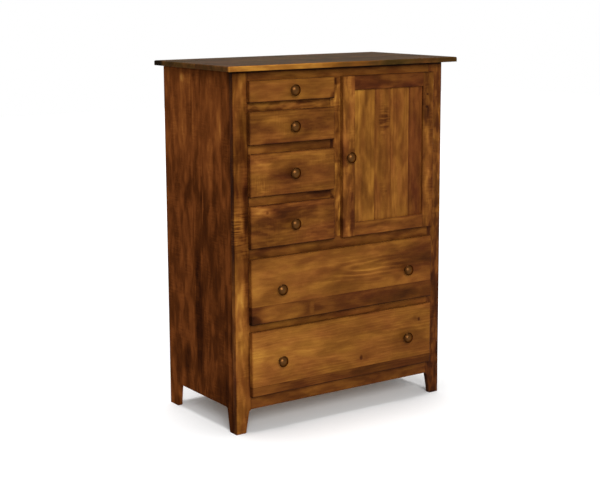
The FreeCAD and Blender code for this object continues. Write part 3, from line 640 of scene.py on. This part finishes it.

# %% [markdown]
# The face frame is of narrower stock. Its upright members take the stain
# darker than the rails, and the left one shows all the moods of maple: smooth
# and golden low down, rippled in the middle, blotched near the top.

# %% Face frame
# Painted shadow: the top 13 mm of a stile is darkened, standing for the shade under the top's overhang
SHADOW_UNDER_TOP = (1.0, 0.5, 13, 1000, -0.45, 0.35)
STILES = {
    "left_stile": dict(
        tone=0.43, red=0.45, cloud=0.4, fleck=0.4, curl=0.2,
        patches=((0.95, 0.35, 110, 26, 0.12),),
        # The marks whose second share is 1.0 darken the stile's right edge beside the drawer fronts:
        # painted shadow
        washes=((0.2, 0.5, 350, 400, 0.21, 0.75), (0.38, 0.3, 120, 90, 0.15),
                (0.55, 0.35, 190, 60, 0.09, 0.4), (0.3, 1.0, 400, 18, -0.14, 0.3),
                (0.375, 0.85, 100, 26, -0.23, 0.4), (0.3, 0.3, 50, 20, 0.14, 0.4),
                (0.12, 0.25, 60, 20, 0.13, 0.4), (0.63, 0.85, 120, 26, -0.19, 0.4),
                (0.465, 0.5, 40, 60, 0.08, 0.3), (0.91, 0.3, 40, 20, -0.12, 0.3),
                (0.04, 0.5, 60, 90, -0.07, 0.4), (0.5, 0.0, 3000, 2.5, -0.2, 0.5),
                (0.95, 0.72, 75, 22, 0.2, 0.4), (0.8, 0.32, 36, 18, -0.1, 0.4),
                (0.68, 0.5, 40, 40, -0.07, 0.4), (0.575, 0.85, 40, 22, -0.1, 0.4),
                (0.36, 0.3, 80, 18, 0.07, 0.5), (0.06, 0.8, 70, 20, -0.09, 0.4),
                (0.945, 1.0, 48, 8, -0.2, 0.5), (0.84, 1.0, 75, 13, -0.13, 0.5),
                (0.72, 1.0, 95, 9, -0.1, 0.5), (0.19, 1.0, 150, 13, -0.14, 0.5), SHADOW_UNDER_TOP),
        ripples=((0.58, 0.45, 165, 40, 0.7),), gloss=0.008),
    "mid_stile": dict(
        tone=0.62, red=0.45, cloud=0.8, fleck=0.9, curl=0.3,
        # The first mark darkens the stile's left 18 mm beside the drawer fronts' ends: painted shadow
        washes=((0.5, 0.0, 3000, 18, -0.2, 0.6), (0.77, 0.6, 65, 30, -0.16, 0.4),
                (0.98, 0.6, 20, 30, -0.3, 0.4), (0.62, 0.6, 30, 30, 0.14, 0.4),
                (0.51, 0.6, 40, 30, -0.12, 0.4), (0.19, 0.6, 60, 30, 0.12, 0.4))),
    "right_stile": dict(
        tone=0.51, red=0.6, fleck=0.75, curl=0.2,
        washes=((0.08, 0.5, 440, 300, -0.2, 0.45), (0.5, 0.5, 300, 300, -0.09),
                (0.695, 0.5, 170, 300, 0.12, 0.7), (0.51, 0.5, 90, 300, -0.09, 0.4),
                (0.35, 0.5, 50, 300, -0.05, 0.3), (0.23, 0.5, 60, 300, 0.07, 0.3),
                (0.14, 0.5, 70, 300, -0.07, 0.4), SHADOW_UNDER_TOP)),
}
for seed, (node, look) in enumerate(STILES.items(), 21):
    finish_node(node, "ZXY", seed, edge=0.05, **look)
RAILS = {
    # The top rail's upper 13 mm is darkened the same way: painted shadow under the top's overhang
    "top_rail": dict(tone=0.52, cloud=0.42, washes=((0.5, 1.0, 2000, 13, -0.45, 0.35),)),
    "drawer_rail_upper": dict(
        tone=0.54, fleck=0.8, patches=((0.86, 0.5, 60, 20, 0.14),),
        washes=((0.72, 0.8, 85, 16, -0.15, 0.4),)),
    "drawer_rail_middle": dict(tone=0.53),
    "drawer_rail_lower": dict(
        # The first mark darkens the rail's upper right end just under the third front: painted shadow
        tone=0.54, washes=((0.9, 0.8, 90, 34, -0.34, 0.2), (0.2, 0.5, 110, 50, 0.11, 0.5))),
    "waist_rail": dict(tone=0.47, red=0.4, washes=((0.12, 0.5, 90, 60, -0.07, 0.5),)),
    "lower_rail": dict(tone=0.48, red=0.4, cloud=0.4),
    "bottom_rail": dict(tone=0.46, red=0.45, cloud=0.35),
}
for seed, (node, look) in enumerate(RAILS.items(), 31):
    finish_node(node, "XZY", seed, edge=0.05, **look)
print("members:", len(STILES) + len(RAILS))

# %% [markdown]
# The sides and the top are glued up from several boards. The sides are the
# darkest wood on the chest, a reddish brown. The left one, which is seen best,
# has its marks set one by one: shares up its height and from front to rear.

# %% Sides and top
SIDE_STAIN = ("140804", "321608", "52290f", "763f1b", "955726", "b27435", "cf9850")
SIDE_JOINTS = ((0.0, 0.0), (0.12, -0.04), (0.42, 0.0), (0.565, 0.03))
# The first mark darkens the side's top 12 mm: painted shadow under the top's overhang. The others are the
# side's own tone
SIDE_EDGES_AND_SHADOW = ((1.0, 0.5, 12, 3000, -0.2), (0.5, 0.0, 3000, 16, -0.1, 0.4), (1.0, 0.5, 900, 900, 0.09, 0.1))
SIDE_MARKS = {
    "left_side": (
        (0.87, 0.28, 170, 120, 0.1, 0.6), (0.97, 0.7, 24, 26, 0.2, 0.3), (0.84, 0.69, 100, 30, 0.09, 0.4),
        (0.9, 0.48, 40, 18, -0.08), (0.9, 0.57, 140, 6, -0.14, 0.3), (0.84, 0.14, 70, 8, 0.14),
        (0.9, 0.27, 60, 22, 0.07), (0.66, 0.66, 85, 100, -0.09, 0.3), (0.69, 0.66, 38, 26, 0.15, 0.3),
        (0.69, 0.32, 130, 40, 0.08, 0.5), (0.63, 0.44, 140, 7, -0.16, 0.3),
        (0.22, 0.09, 430, 17, -0.13, 0.6), (0.64, 0.1, 40, 20, 0.16, 0.2), (0.32, 0.5, 330, 38, -0.13, 0.5),
        (0.3, 0.1, 34, 15, 0.16), (0.27, 0.28, 40, 24, 0.1), (0.15, 0.7, 110, 45, -0.08, 0.3),
        (0.18, 0.25, 24, 20, 0.1), (0.45, 0.72, 120, 60, 0.03)),
    "right_side": (
        (0.9, 0.3, 90, 40, 0.12, 0.3), (0.6, 0.6, 120, 60, -0.09, 0.3), (0.3, 0.3, 200, 30, -0.1, 0.4)),
}
SIDE = dict(tone=0.42, red=0.55, cloud=0.44, blot=(125, 42), streak=0.14, curl=0.15,
            gloss=0.001, joints=SIDE_JOINTS, colours=(SIDE_STAIN, SIDE_STAIN))
for node, seed in (("left_side", 41), ("right_side", 42)):
    finish_node(node, "ZYX", seed, washes=SIDE_EDGES_AND_SHADOW + SIDE_MARKS[node], **SIDE)
# The top gets a low tone and olive ramps, darker and greyer than the rest of the chest: partly its stain,
# partly painted shade and painted reflection for a top seen at a grazing angle. Its front edge is lightened
# again, most on the left
TOP_OLIVE_SHADED = ("120c06", "32260f", "533b1a", "7b4c1b", "9a6526", "b98132", "d8a552")
TOP_BROWN_SHADED = ("140a05", "38210f", "5a351a", "7e4a1c", "9a6228", "b98033", "d8a355")
finish_node("top_board", "XYZ", 43, tone=0.25, red=0.4, cloud=0.25, gloss=0.005, ends=0.0,
            colours=(TOP_OLIVE_SHADED, TOP_BROWN_SHADED),
            joints=((0.0, 0.0), (0.2, -0.03), (0.43, 0.02), (0.66, -0.02), (0.85, 0.01)),
            washes=((0.16, 0.0, 700, 13, 0.56), (0.85, 0.0, 400, 13, 0.12),
                    (0.695, 0.0, 68, 13, -0.13, 0.4), (0.0, 0.42, 8, 420, 0.07, 0.5),
                    (0.0, 1.0, 14, 75, -0.3, 0.5)))
print("side marks:", len(SIDE_MARKS["left_side"]))

# %% [markdown]
# The door has a frame and four tongued planks. The planks are four solids that
# share one node of the frame, so the node could have only one wood. Each solid
# is copied by itself, with its loose triangles joined at their corners, and
# gets a wood of its own. One object of each copy keeps them together.

# %% Door
DOOR_FRAME = {
    "door_knob_stile": ("ZXY", dict(
        tone=0.55, red=0.4, fleck=0.6, curl=0.2,
        patches=((0.28, 0.5, 20, 20, 0.12), (0.09, 0.6, 22, 18, 0.14)),
        washes=((0.16, 0.5, 95, 100, -0.14, 0.5), (0.75, 0.5, 150, 100, 0.06, 0.5)))),
    "door_hinge_stile": ("ZXY", dict(
        tone=0.51, cloud=0.55, fleck=0.6, curl=0.2,
        patches=((0.62, 0.4, 60, 30, 0.1), (0.25, 0.4, 170, 30, 0.08)),
        knots=((0.86, 0.4, 5), (0.78, 0.35, 6)))),
    "door_top_rail": ("XZY", dict(tone=0.42, red=0.55, cloud=0.45)),
    "door_bottom_rail": ("XZY", dict(
        tone=0.48, red=0.55, cloud=0.35,
        # Painted shadow along the rail's lower edge, as under the drawer fronts
        washes=((0.35, 0.25, 170, 20, 0.13, 0.4),) + UNDER_EDGE_SHADOW)),
}
for seed, (node, (lay, look)) in enumerate(DOOR_FRAME.items(), 51):
    finish_node(node, lay, seed, edge=0.08, **look)


def corner_key(corner):
    """A corner's place to a micrometre, so that equal corners can be told."""
    return tuple(round(share * 1e6) for share in corner)


def closed_runs(mesh):
    """The faces of each closed solid of a node, which lie one solid after another."""
    runs, run, unmatched = [], [], set()
    for face in mesh.polygons:
        keys = [corner_key(mesh.vertices[vert].co) for vert in face.vertices]
        for start, end in zip(keys, keys[1:] + keys[:1]):
            unmatched ^= {frozenset((start, end))}
        run.append(face)
        if not unmatched:
            runs.append(run)
            run = []
    return runs


def loose_copy(node, name, choose):
    """A merged copy of a node, each of its solids given the material that choose picks."""
    source = frame["nodes"][node].data
    shape = bmesh.new()
    materials = []
    for run in closed_runs(source):
        verts = {}
        for face in run:
            for vert in face.vertices:
                corner = source.vertices[vert].co
                if corner_key(corner) not in verts:
                    verts[corner_key(corner)] = shape.verts.new(corner)
        low, high = (Vector([pick(vert.co[axis] for vert in verts.values()) for axis in range(3)])
                     for pick in (min, max))
        for face in run:
            made = shape.faces.new([verts[corner_key(source.vertices[vert].co)] for vert in face.vertices])
            made.material_index = len(materials)
        materials.append(choose(len(materials), low, high))
    piece = new_piece(name, shape, corner=25)
    for material in materials:
        piece.data.materials.append(material)
    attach(piece, frame["nodes"][node]["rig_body"])
    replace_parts(piece, node)
    return piece


PLANKS = [
    dict(tone=0.55, red=0.0, washes=((0.95, 0.2, 120, 42, 0.22, 0.6),)),
    dict(tone=0.54, red=0.4, cloud=0.3, curl=0.1,
         ripples=((0.76, 0.6, 80, 40, -0.9), (0.25, 0.55, 45, 34, -0.6))),
    dict(tone=0.58, cloud=0.35, streak=0.45),
    dict(tone=0.46, red=0.7, cloud=0.3),
]


def plank_wood(place, low, high):
    """The wood of a plank, counted from the left."""
    return wood("maple_plank_%d" % place, low, high, "ZXY", 61 + place, edge=0.05, **PLANKS[place])


planks = loose_copy("door_planks", "door_plank_boards", plank_wood)
print("planks:", len(planks.data.materials))

# %% [markdown]
# Inside, the boards that nobody sees often are plainer. The case is stained
# like the outside, the drawer boxes and packing pieces are clear-lacquered
# pale maple, and the back is a stained sheet of plywood.

# %% Inside the case
PALE = ("6b4a2a", "8f6c42", "ad8656", "c59d6b", "d5b183", "e2c49a", "eed7b4")
PALE_WARM = ("664226", "8b623c", "aa7d50", "c39666", "d3ab7f", "dfbd94", "eacfae")
PLAIN = dict(cloud=0.3, ring=0.08)
STAINED_INSIDE = {"waist_board": "XYZ", "partition": "ZYX", "lower_shelf": "XYZ", "upper_shelf": "XYZ"}
PALE_INSIDE = {"top_stretchers": "XYZ", "rear_rail": "XZY", "left_posts": "ZXY", "right_posts": "ZXY"}
for seed, (node, lay) in enumerate(STAINED_INSIDE.items(), 71):
    finish_node(node, lay, seed, tone=0.46, joints=((0.0, 0.0), (0.35, 0.03), (0.7, -0.02)), **PLAIN)
for seed, (node, lay) in enumerate(PALE_INSIDE.items(), 75):
    finish_node(node, lay, seed, tone=0.55, colours=(PALE, PALE_WARM), **PLAIN)
finish_node("back_panel", "ZXY", 79, tone=0.42, red=0.5, cloud=0.4, blot=(300, 60), fleck=0.1,
            ring=0.07, heart=(0.45, 150), slant=0.05, year=30, brads=((60, 9),))
# Millimetres: a flatter board is a floor, a narrower one a side
FLAT_UNDER, SIDE_UNDER = 10, 20


def box_wood(drawer, first_seed):
    """A chooser of the wood of each board of a drawer box: a flat floor, a side or an end."""
    def choose(place, low, high):
        size = (high - low) / MM
        lay = "XYZ" if size.z < FLAT_UNDER else "YZX" if size.x < SIDE_UNDER else "XZY"
        seed = first_seed + place + 1
        return wood("%s_box_%s_%d" % (drawer, lay.lower(), seed), low, high, lay, seed, tone=0.6,
                    colours=(PALE, PALE_WARM), rough=0.42, **PLAIN)
    return choose


DRAWERS = ["drawer_%d" % number for number in range(1, 7)]
for number, drawer in enumerate(DRAWERS):
    boards = loose_copy(drawer + "_box", drawer + "_box_boards", box_wood(drawer, 100 + 10 * number))
print("drawer boxes:", len(DRAWERS))

# %% [markdown]
# A metal is never one flat colour: plating is a little cloudy, and a brown
# patina is worn away where hands and edges rub. One material makes them all.
# It drifts between a covered and a worn colour, by chance or by a value stored
# on each point that says how exposed it is. Oil-rubbed bronze looks almost
# black in its hollows and warm on its crown, with a small soft glint. Bright
# zinc plate is a cool, pale grey that shines on every slide and screw. Steel
# plated with bronze, as on the hinges, stays a dull dark brown.

# %% Metals
CLOUDS_OF_METAL = 9 * MM
SPECKLE_SHARE, CLOUD_SHARE = 0.5, 0.7
METAL_RELIEF = 0.05 * MM


def metal(name, colour, worn, roughness, speckle=1.2, attribute=None, rim="ffffff"):
    """A metal whose colour drifts towards a worn one, where its points are exposed or at random."""
    material, tree, point = new_material(name)
    fine = add(tree, "TexNoise", {"Vector": point, "Scale": 1 / (speckle * MM), "Detail": 3})[0]
    slow = add(tree, "TexNoise", {"Vector": point, "Scale": 1 / CLOUDS_OF_METAL, "Detail": 2})[0]
    drift = total(tree, weigh(tree, fine, SPECKLE_SHARE), weigh(tree, slow, CLOUD_SHARE))
    base = add(tree, "Attribute", attribute_name=attribute)["Fac"] if attribute else 0.5
    share = add(tree, "Math", {0: drift, 1: base}, use_clamp=True)[0]
    tint = add(tree, "Mix", {"Factor": share, 6: linear(colour), 7: linear(worn)}, data_type="RGBA")[2]
    gloss = add(tree, "MapRange", {0: share, 3: roughness + 0.1, 4: roughness - 0.05})[0]
    return surface(material, tree, tint, gloss, fine, 0.15, METAL_RELIEF,
                   {"Metallic": 1.0, "Specular Tint": linear(rim)})


BRONZE = metal("oil_rubbed_bronze", "311906", "54361a", 0.35, speckle=1.6, attribute="exposed",
               rim="7a4c28")
ZINC = metal("bright_zinc_plate", "8d9094", "c9ccd0", 0.32)
DARK_STEEL = metal("bronze_plated_steel", "2b1d13", "5a4431", 0.4)
print("metals:", BRONZE.name, ZINC.name, DARK_STEEL.name)

# %% [markdown]
# Knobs, screws and felt discs are all round, so they are all turned: an
# outline of radius and reach is spun about an axis, as on a lathe. A square
# drive in a screw is the inner ring of the outline pushed out to a square.

# %% Turning
PAN_HEAD = ((0.0, 0.3, 0.0), (0.36, 0.3, 0.0), (0.4, 0.97, 0.5), (0.72, 0.88, 0.8), (0.94, 0.55, 0.8),
            (1.0, 0.2, 0.5), (1.0, 0.0, 0.2), (0.0, 0.0, 0.2))
FLAT_HEAD = ((0.0, 0.2, 0.0), (0.36, 0.2, 0.0), (0.4, 1.0, 0.5), (0.9, 1.0, 0.9), (1.0, 0.0, 0.5),
             (0.0, 0.0, 0.2))
FELT_DOT = ((0.0, 1.0, 1.0), (0.7, 1.0, 0.9), (0.92, 0.85, 0.7), (1.0, 0.55, 0.5), (1.0, 0.0, 0.3),
            (0.0, 0.0, 0.2))
DRIVE_SHARE = 0.41
DRIVE_FLAT = 0.75
MIDDLE_SHARE = 0.05


def turned(name, outline, centres, axis, radius=MM, height=MM, steps=16, square=0.0):
    """Round pieces spun from an outline: radius, reach along the axis, and how exposed each ring is."""
    axis = Vector(axis)
    side = axis.orthogonal().normalized()
    shape = bmesh.new()
    exposed = shape.verts.layers.float.new("exposed")
    for centre in map(Vector, centres):
        verts = []
        for out, reach, wear in outline:
            vert = shape.verts.new(centre + side * out * radius + axis * reach * height)
            vert[exposed] = wear
            verts.append(vert)
        edges = [shape.edges.new(pair) for pair in zip(verts, verts[1:])]
        bmesh.ops.spin(shape, geom=verts + edges, cent=centre, axis=axis, steps=steps, angle=math.tau,
                       use_merge=True)
        for vert in shape.verts:
            arm = vert.co - centre - axis * axis.dot(vert.co - centre)
            if MIDDLE_SHARE * radius < arm.length < square * radius:
                lean = max(abs(arm.normalized().dot(side)), abs(arm.normalized().dot(axis.cross(side))))
                vert.co += arm * (DRIVE_FLAT / lean - 1)
    bmesh.ops.remove_doubles(shape, verts=shape.verts, dist=0.01 * MM)
    bmesh.ops.recalc_face_normals(shape, faces=shape.faces)
    return new_piece(name, shape, corner=40)


def fit(piece, material, body):
    """Give a new piece its finish and let it ride on a body."""
    piece.data.materials.append(material)
    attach(piece, body)
    return piece


print("a screw has", len(PAN_HEAD), "rings")

# %% [markdown]
# The knobs are cast and turned, with an oil-rubbed bronze finish: dark brown
# in the hollows, a little brighter where hands polish the crown. Each has a
# round foot, a waist, a flared rim and a low dome with a small step.

# %% Knobs
KNOB_OUTLINE = (
    (0.0, 0.0, 0.0), (10.4, 0.0, 0.1), (10.5, 0.8, 0.3), (10.2, 1.8, 0.3), (9.0, 3.2, 0.1),
    (8.2, 5.2, 0.0), (8.1, 7.4, 0.0), (8.7, 9.2, 0.0), (10.6, 11.2, 0.0), (14.1, 13.4, 0.1),
    (17.9, 15.4, 0.2), (20.2, 16.9, 0.4), (20.95, 18.4, 0.5), (20.4, 20.0, 0.5), (19.3, 21.2, 0.3),
    (18.8, 21.6, 0.1), (18.1, 22.6, 0.3), (16.2, 24.2, 0.6), (13.6, 26.0, 0.8), (10.0, 27.9, 0.9),
    (6.0, 29.35, 1.0), (2.2, 29.93, 1.0), (0.0, 30.0, 1.0),
)
KNOB_RADIUS = 21 * MM
KNOB_REACH = 30 * MM
KNOB_NODES = {body: body + "_knob" for body in DRAWERS + ["door"]}
for wide in ("drawer_5", "drawer_6"):
    KNOB_NODES[wide] = wide + "_knobs"
knob_places = {}
for body, node in KNOB_NODES.items():
    low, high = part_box(node)
    places = sorted({round(low.x + KNOB_RADIUS, 5), round(high.x - KNOB_RADIUS, 5)})
    knob_places[body] = [Vector((x, low.y + KNOB_REACH, (low.z + high.z) / 2)) for x in places]
    knob = turned(node + "_turned", KNOB_OUTLINE, knob_places[body], (0, -1, 0), steps=40)
    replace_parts(fit(knob, BRONZE, body), node)
print("knobs:", sum(len(places) for places in knob_places.values()))

# %% [markdown]
# Each knob is held by a machine screw from behind. On the drawers its head
# bears on the inside of the box, so it also ties the box to the front. Four
# more screws beside it do the rest of that work.

# %% Screws of the fronts
KNOB_SCREW = dict(radius=4.5 * MM, height=2.5 * MM, square=DRIVE_SHARE)
FRONT_SCREW = dict(radius=4.0 * MM, height=2.2 * MM, square=DRIVE_SHARE)
BOX_END = 15 * MM
SCREW_INSET = 50 * MM
SCREW_HEIGHTS = (0.38, 0.8)
for body, places in knob_places.items():
    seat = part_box("door_knob_stile")[1].y if body == "door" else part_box(body + "_box")[0].y + BOX_END
    seats = [(place.x, seat, place.z) for place in places]
    heads = turned(body + "_knob_screws", PAN_HEAD, seats, (0, 1, 0), **KNOB_SCREW)
    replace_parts(fit(heads, ZINC, body), KNOB_NODES[body])
for drawer in DRAWERS:
    low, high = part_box(drawer + "_box")
    places = [(x, low.y + BOX_END, low.z + share * (high.z - low.z))
              for x in (low.x + SCREW_INSET, high.x - SCREW_INSET) for share in SCREW_HEIGHTS]
    heads = turned(drawer + "_front_screws", PAN_HEAD, places, (0, 1, 0), **FRONT_SCREW)
    fit(heads, ZINC, drawer)
print("front screws:", 4 * len(DRAWERS))

# %% [markdown]
# Small discs of brown felt on the back of each front and of the door keep
# wood from knocking on wood. They sit where the front laps over the frame.

# %% Felt discs
FIBRE_LENGTH = 0.9 * MM
FELT_RELIEF = 0.2 * MM


def felt(name, colour, shade):
    """Pressed wool felt: a matt cloth of short fibres in all directions, a millimetre or so long."""
    material, tree, point = new_material(name)
    fuzz = add(tree, "TexNoise", {"Vector": point, "Scale": 1 / FIBRE_LENGTH, "Detail": 4,
                                  "Distortion": 1.5})[0]
    tint = add(tree, "Mix", {"Factor": fuzz, 6: linear(shade), 7: linear(colour)}, data_type="RGBA")[2]
    return surface(material, tree, tint, 0.95, fuzz, 0.5, FELT_RELIEF, {"Specular IOR Level": 0.1})


FELT = felt("brown_wool_felt", "6b5138", "2e2015")
DOT = dict(radius=2.4 * MM, height=1.7 * MM)
DOT_INSET = 2.5 * MM
DOT_RISE = 12 * MM
BACKS = {drawer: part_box(drawer + "_front") for drawer in DRAWERS}
BACKS["door"] = (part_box("door_knob_stile")[0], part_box("door_hinge_stile")[1])
for body, (low, high) in BACKS.items():
    sides = (low.x + DOT_INSET, high.x - DOT_INSET) if body != "door" else (low.x + DOT_INSET,)
    places = [(x, high.y, z) for x in sides for z in (low.z + DOT_RISE, high.z - DOT_RISE)]
    fit(turned(body + "_felt_discs", FELT_DOT, places, (0, 1, 0), **DOT), FELT, body)
print("felt discs on", len(BACKS), "fronts")

# %% [markdown]
# The slides and the hinge leaves are pressed from sheet steel and screwed on.
# The screws of a hinge are sunk flush, or the door would not close. The
# runners' screws sit in their channel, where there is room for a flat head.

# %% Screws of slides and hinges
RUNNER_WALL = 1.2 * MM
RUNNER_SCREW = dict(radius=3.6 * MM, height=0.9 * MM, square=DRIVE_SHARE)
RUNNER_STOPS = (0.09, 0.5, 0.91)
for drawer in DRAWERS:
    box_low, box_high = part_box(drawer + "_box")
    run_low, run_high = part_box(drawer + "_runners")
    middle_z = (run_low.z + run_high.z) / 2
    stops = [run_low.y + share * (run_high.y - run_low.y) for share in RUNNER_STOPS]
    for end, x, way in (("left", box_low.x - RUNNER_WALL, -1), ("right", box_high.x + RUNNER_WALL, 1)):
        places = [(x, y, middle_z) for y in stops]
        name = "%s_%s_runner_screws" % (drawer, end)
        heads = turned(name, FLAT_HEAD, places, (way, 0, 0), **RUNNER_SCREW)
        fit(heads, ZINC, drawer)
LEAF_HEIGHT = 60 * MM
LEAF_THICKNESS = 1.4 * MM
HINGE_SCREW = dict(radius=3.4 * MM, height=0.25 * MM, square=DRIVE_SHARE)
# Millimetres from a leaf's inner edge and up from its foot, and the same for the part round the stile
DOOR_SCREWS = ((12, 10), (7, 30), (12, 50))
CASE_SCREW_INSET, CASE_SCREWS = 6, (22, 38)
leaf_low, leaf_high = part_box("door_hinge_leaves")
wrap_low, wrap_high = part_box("case_hinge_leaves")
leaf_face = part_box("door_hinge_stile")[1].y + LEAF_THICKNESS
on_door, on_case = [], []
for low_z in (leaf_low.z, leaf_high.z - LEAF_HEIGHT):
    on_door += [(leaf_low.x + out * MM, leaf_face, low_z + up * MM) for out, up in DOOR_SCREWS]
    on_case += [(wrap_low.x, wrap_high.y - CASE_SCREW_INSET * MM, low_z + up * MM) for up in CASE_SCREWS]
for body, places, axis in (("door", on_door, (0, 1, 0)), ("case", on_case, (-1, 0, 0))):
    heads = turned(body + "_hinge_screws", FLAT_HEAD, places, axis, **HINGE_SCREW)
    fit(heads, DARK_STEEL, body)
print("hinge screws:", len(on_door) + len(on_case))

# %% [markdown]
# A hinge's pin is a plain rod that drops in from above. Its head is a low
# button as wide as the barrel, and its lower end is chamfered to find the
# bore. It is turned like the screws, a hair thinner than the bore.

# %% Hinge pins
PIN_LENGTH = 61.5
SHANK_RADIUS = 1.32
low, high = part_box("hinge_pins")
barrel = (high.x - low.x) / 2
PIN_OUTLINE = ((0.0, 0.0, 0.3), (1.0, 0.0, 0.4), (SHANK_RADIUS, 0.5, 0.3), (SHANK_RADIUS, 60.0, 0.1),
               (2.7, 60.02, 0.2), (barrel / MM, 60.35, 0.6), (barrel / MM, 60.8, 0.7), (2.6, 61.35, 0.8),
               (1.2, 61.48, 0.9), (0.0, PIN_LENGTH, 0.9))
feet = [((low.x + high.x) / 2, (low.y + high.y) / 2, z) for z in (low.z, high.z - PIN_LENGTH * MM)]
pins = turned("hinge_pins_turned", PIN_OUTLINE, feet, (0, 0, 1), steps=24)
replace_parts(fit(pins, DARK_STEEL, frame["nodes"]["hinge_pins"]["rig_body"]), "hinge_pins")
print("pins:", len(feet), "heads", round(2 * barrel / MM, 1), "mm wide")

# %% [markdown]
# The catch is a small moulded case with a magnet between two steel plates,
# whose edges stand out a little and meet the strike plate on the door. It is
# moulded round its screws, so its front has a shallow well with the plates in.
# The nylon's fine grain makes it look dry and dull beside the plated steel.

# %% Magnetic catch
CATCH_EDGE = 1.0 * MM
CATCH_ROUNDING = 0.9 * MM
WELL_DEPTH = WELL_WALL = 1.2 * MM
POLE_THICKNESS = 1.6 * MM
POLE_DEPTH = 6 * MM
POLE_OFFSET = 2.4 * MM
POLE_INSET = 5 * MM
POLE_ROUNDING = 0.3 * MM
PIT_SIZE = 0.4 * MM
PIT_DEPTH = 0.04 * MM
NYLON_CLOUDS = 14 * MM


def block(name, low, high, bevel, well=0.0):
    """A block between two corners with rounded edges, and a well sunk in its front."""
    shape = bmesh.new()
    bmesh.ops.create_cube(shape, size=1)
    bmesh.ops.scale(shape, vec=high - low, verts=shape.verts)
    bmesh.ops.translate(shape, vec=(low + high) / 2, verts=shape.verts)
    bmesh.ops.bevel(shape, geom=shape.edges[:], offset=bevel, segments=3, profile=0.5, affect="EDGES",
                    material=-1)
    if well:
        front = [face for face in shape.faces if face.normal.y < -0.99]
        bmesh.ops.inset_region(shape, faces=front, thickness=WELL_WALL)
        bmesh.ops.translate(shape, vec=(0, well, 0),
                            verts=list({vert for face in front for vert in face.verts}))
    bmesh.ops.recalc_face_normals(shape, faces=shape.faces)
    return new_piece(name, shape, corner=35)


def moulded_nylon(name, colour, shade):
    """Moulded nylon with a fine spark-eroded grain, about 0.4 mm from pit to pit."""
    material, tree, point = new_material(name)
    pits = add(tree, "TexVoronoi", {"Vector": point, "Scale": 1 / PIT_SIZE})[0]
    cloud = add(tree, "TexNoise", {"Vector": point, "Scale": 1 / NYLON_CLOUDS, "Detail": 2})[0]
    tint = add(tree, "Mix", {"Factor": cloud, 6: linear(shade), 7: linear(colour)}, data_type="RGBA")[2]
    return surface(material, tree, tint, 0.46, pits, 0.3, PIT_DEPTH, {"IOR": 1.53})


NYLON = moulded_nylon("brown_moulded_nylon", "4a3423", "3b281a")
low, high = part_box("door_catch")
front_low = low + Vector((0, CATCH_EDGE, 0))
housing = block("door_catch_housing", front_low, high, CATCH_ROUNDING, well=WELL_DEPTH)
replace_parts(fit(housing, NYLON, "case"), "door_catch")
middle_x = (low.x + high.x) / 2
for end, offset in (("left", -POLE_OFFSET), ("right", POLE_OFFSET)):
    pole_low = Vector((middle_x + offset - POLE_THICKNESS / 2, low.y, low.z + POLE_INSET))
    pole_high = Vector((middle_x + offset + POLE_THICKNESS / 2, low.y + POLE_DEPTH, high.z - POLE_INSET))
    fit(block("door_catch_%s_pole" % end, pole_low, pole_high, POLE_ROUNDING), ZINC, "case")
print("catch:", [round(side / MM, 1) for side in high - low])

# %% [markdown]
# The rest of the hardware keeps its shape from the frame and gets its metal.

# %% Metal of the frame
ZINC_NODES = ["top_screws", "shelf_pins", "slide_channels", "catch_strike"]
ZINC_NODES += [drawer + "_runners" for drawer in DRAWERS]
for node in ZINC_NODES:
    refinish(node, ZINC)
for node in ("case_hinge_leaves", "door_hinge_leaves"):
    refinish(node, DARK_STEEL)
print("zinc plated:", len(ZINC_NODES))

# %% [markdown]
# The size of the solids and that of the dressed chest are put side by side,
# and the size of the dressed chest is printed.

# %% Sizes and finish
low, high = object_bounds()
{"cad": [list(cad_low), list(cad_high)], "visual": [list(low), list(high)]}
print("visual size:", [round(v, 4) for v in high - low])
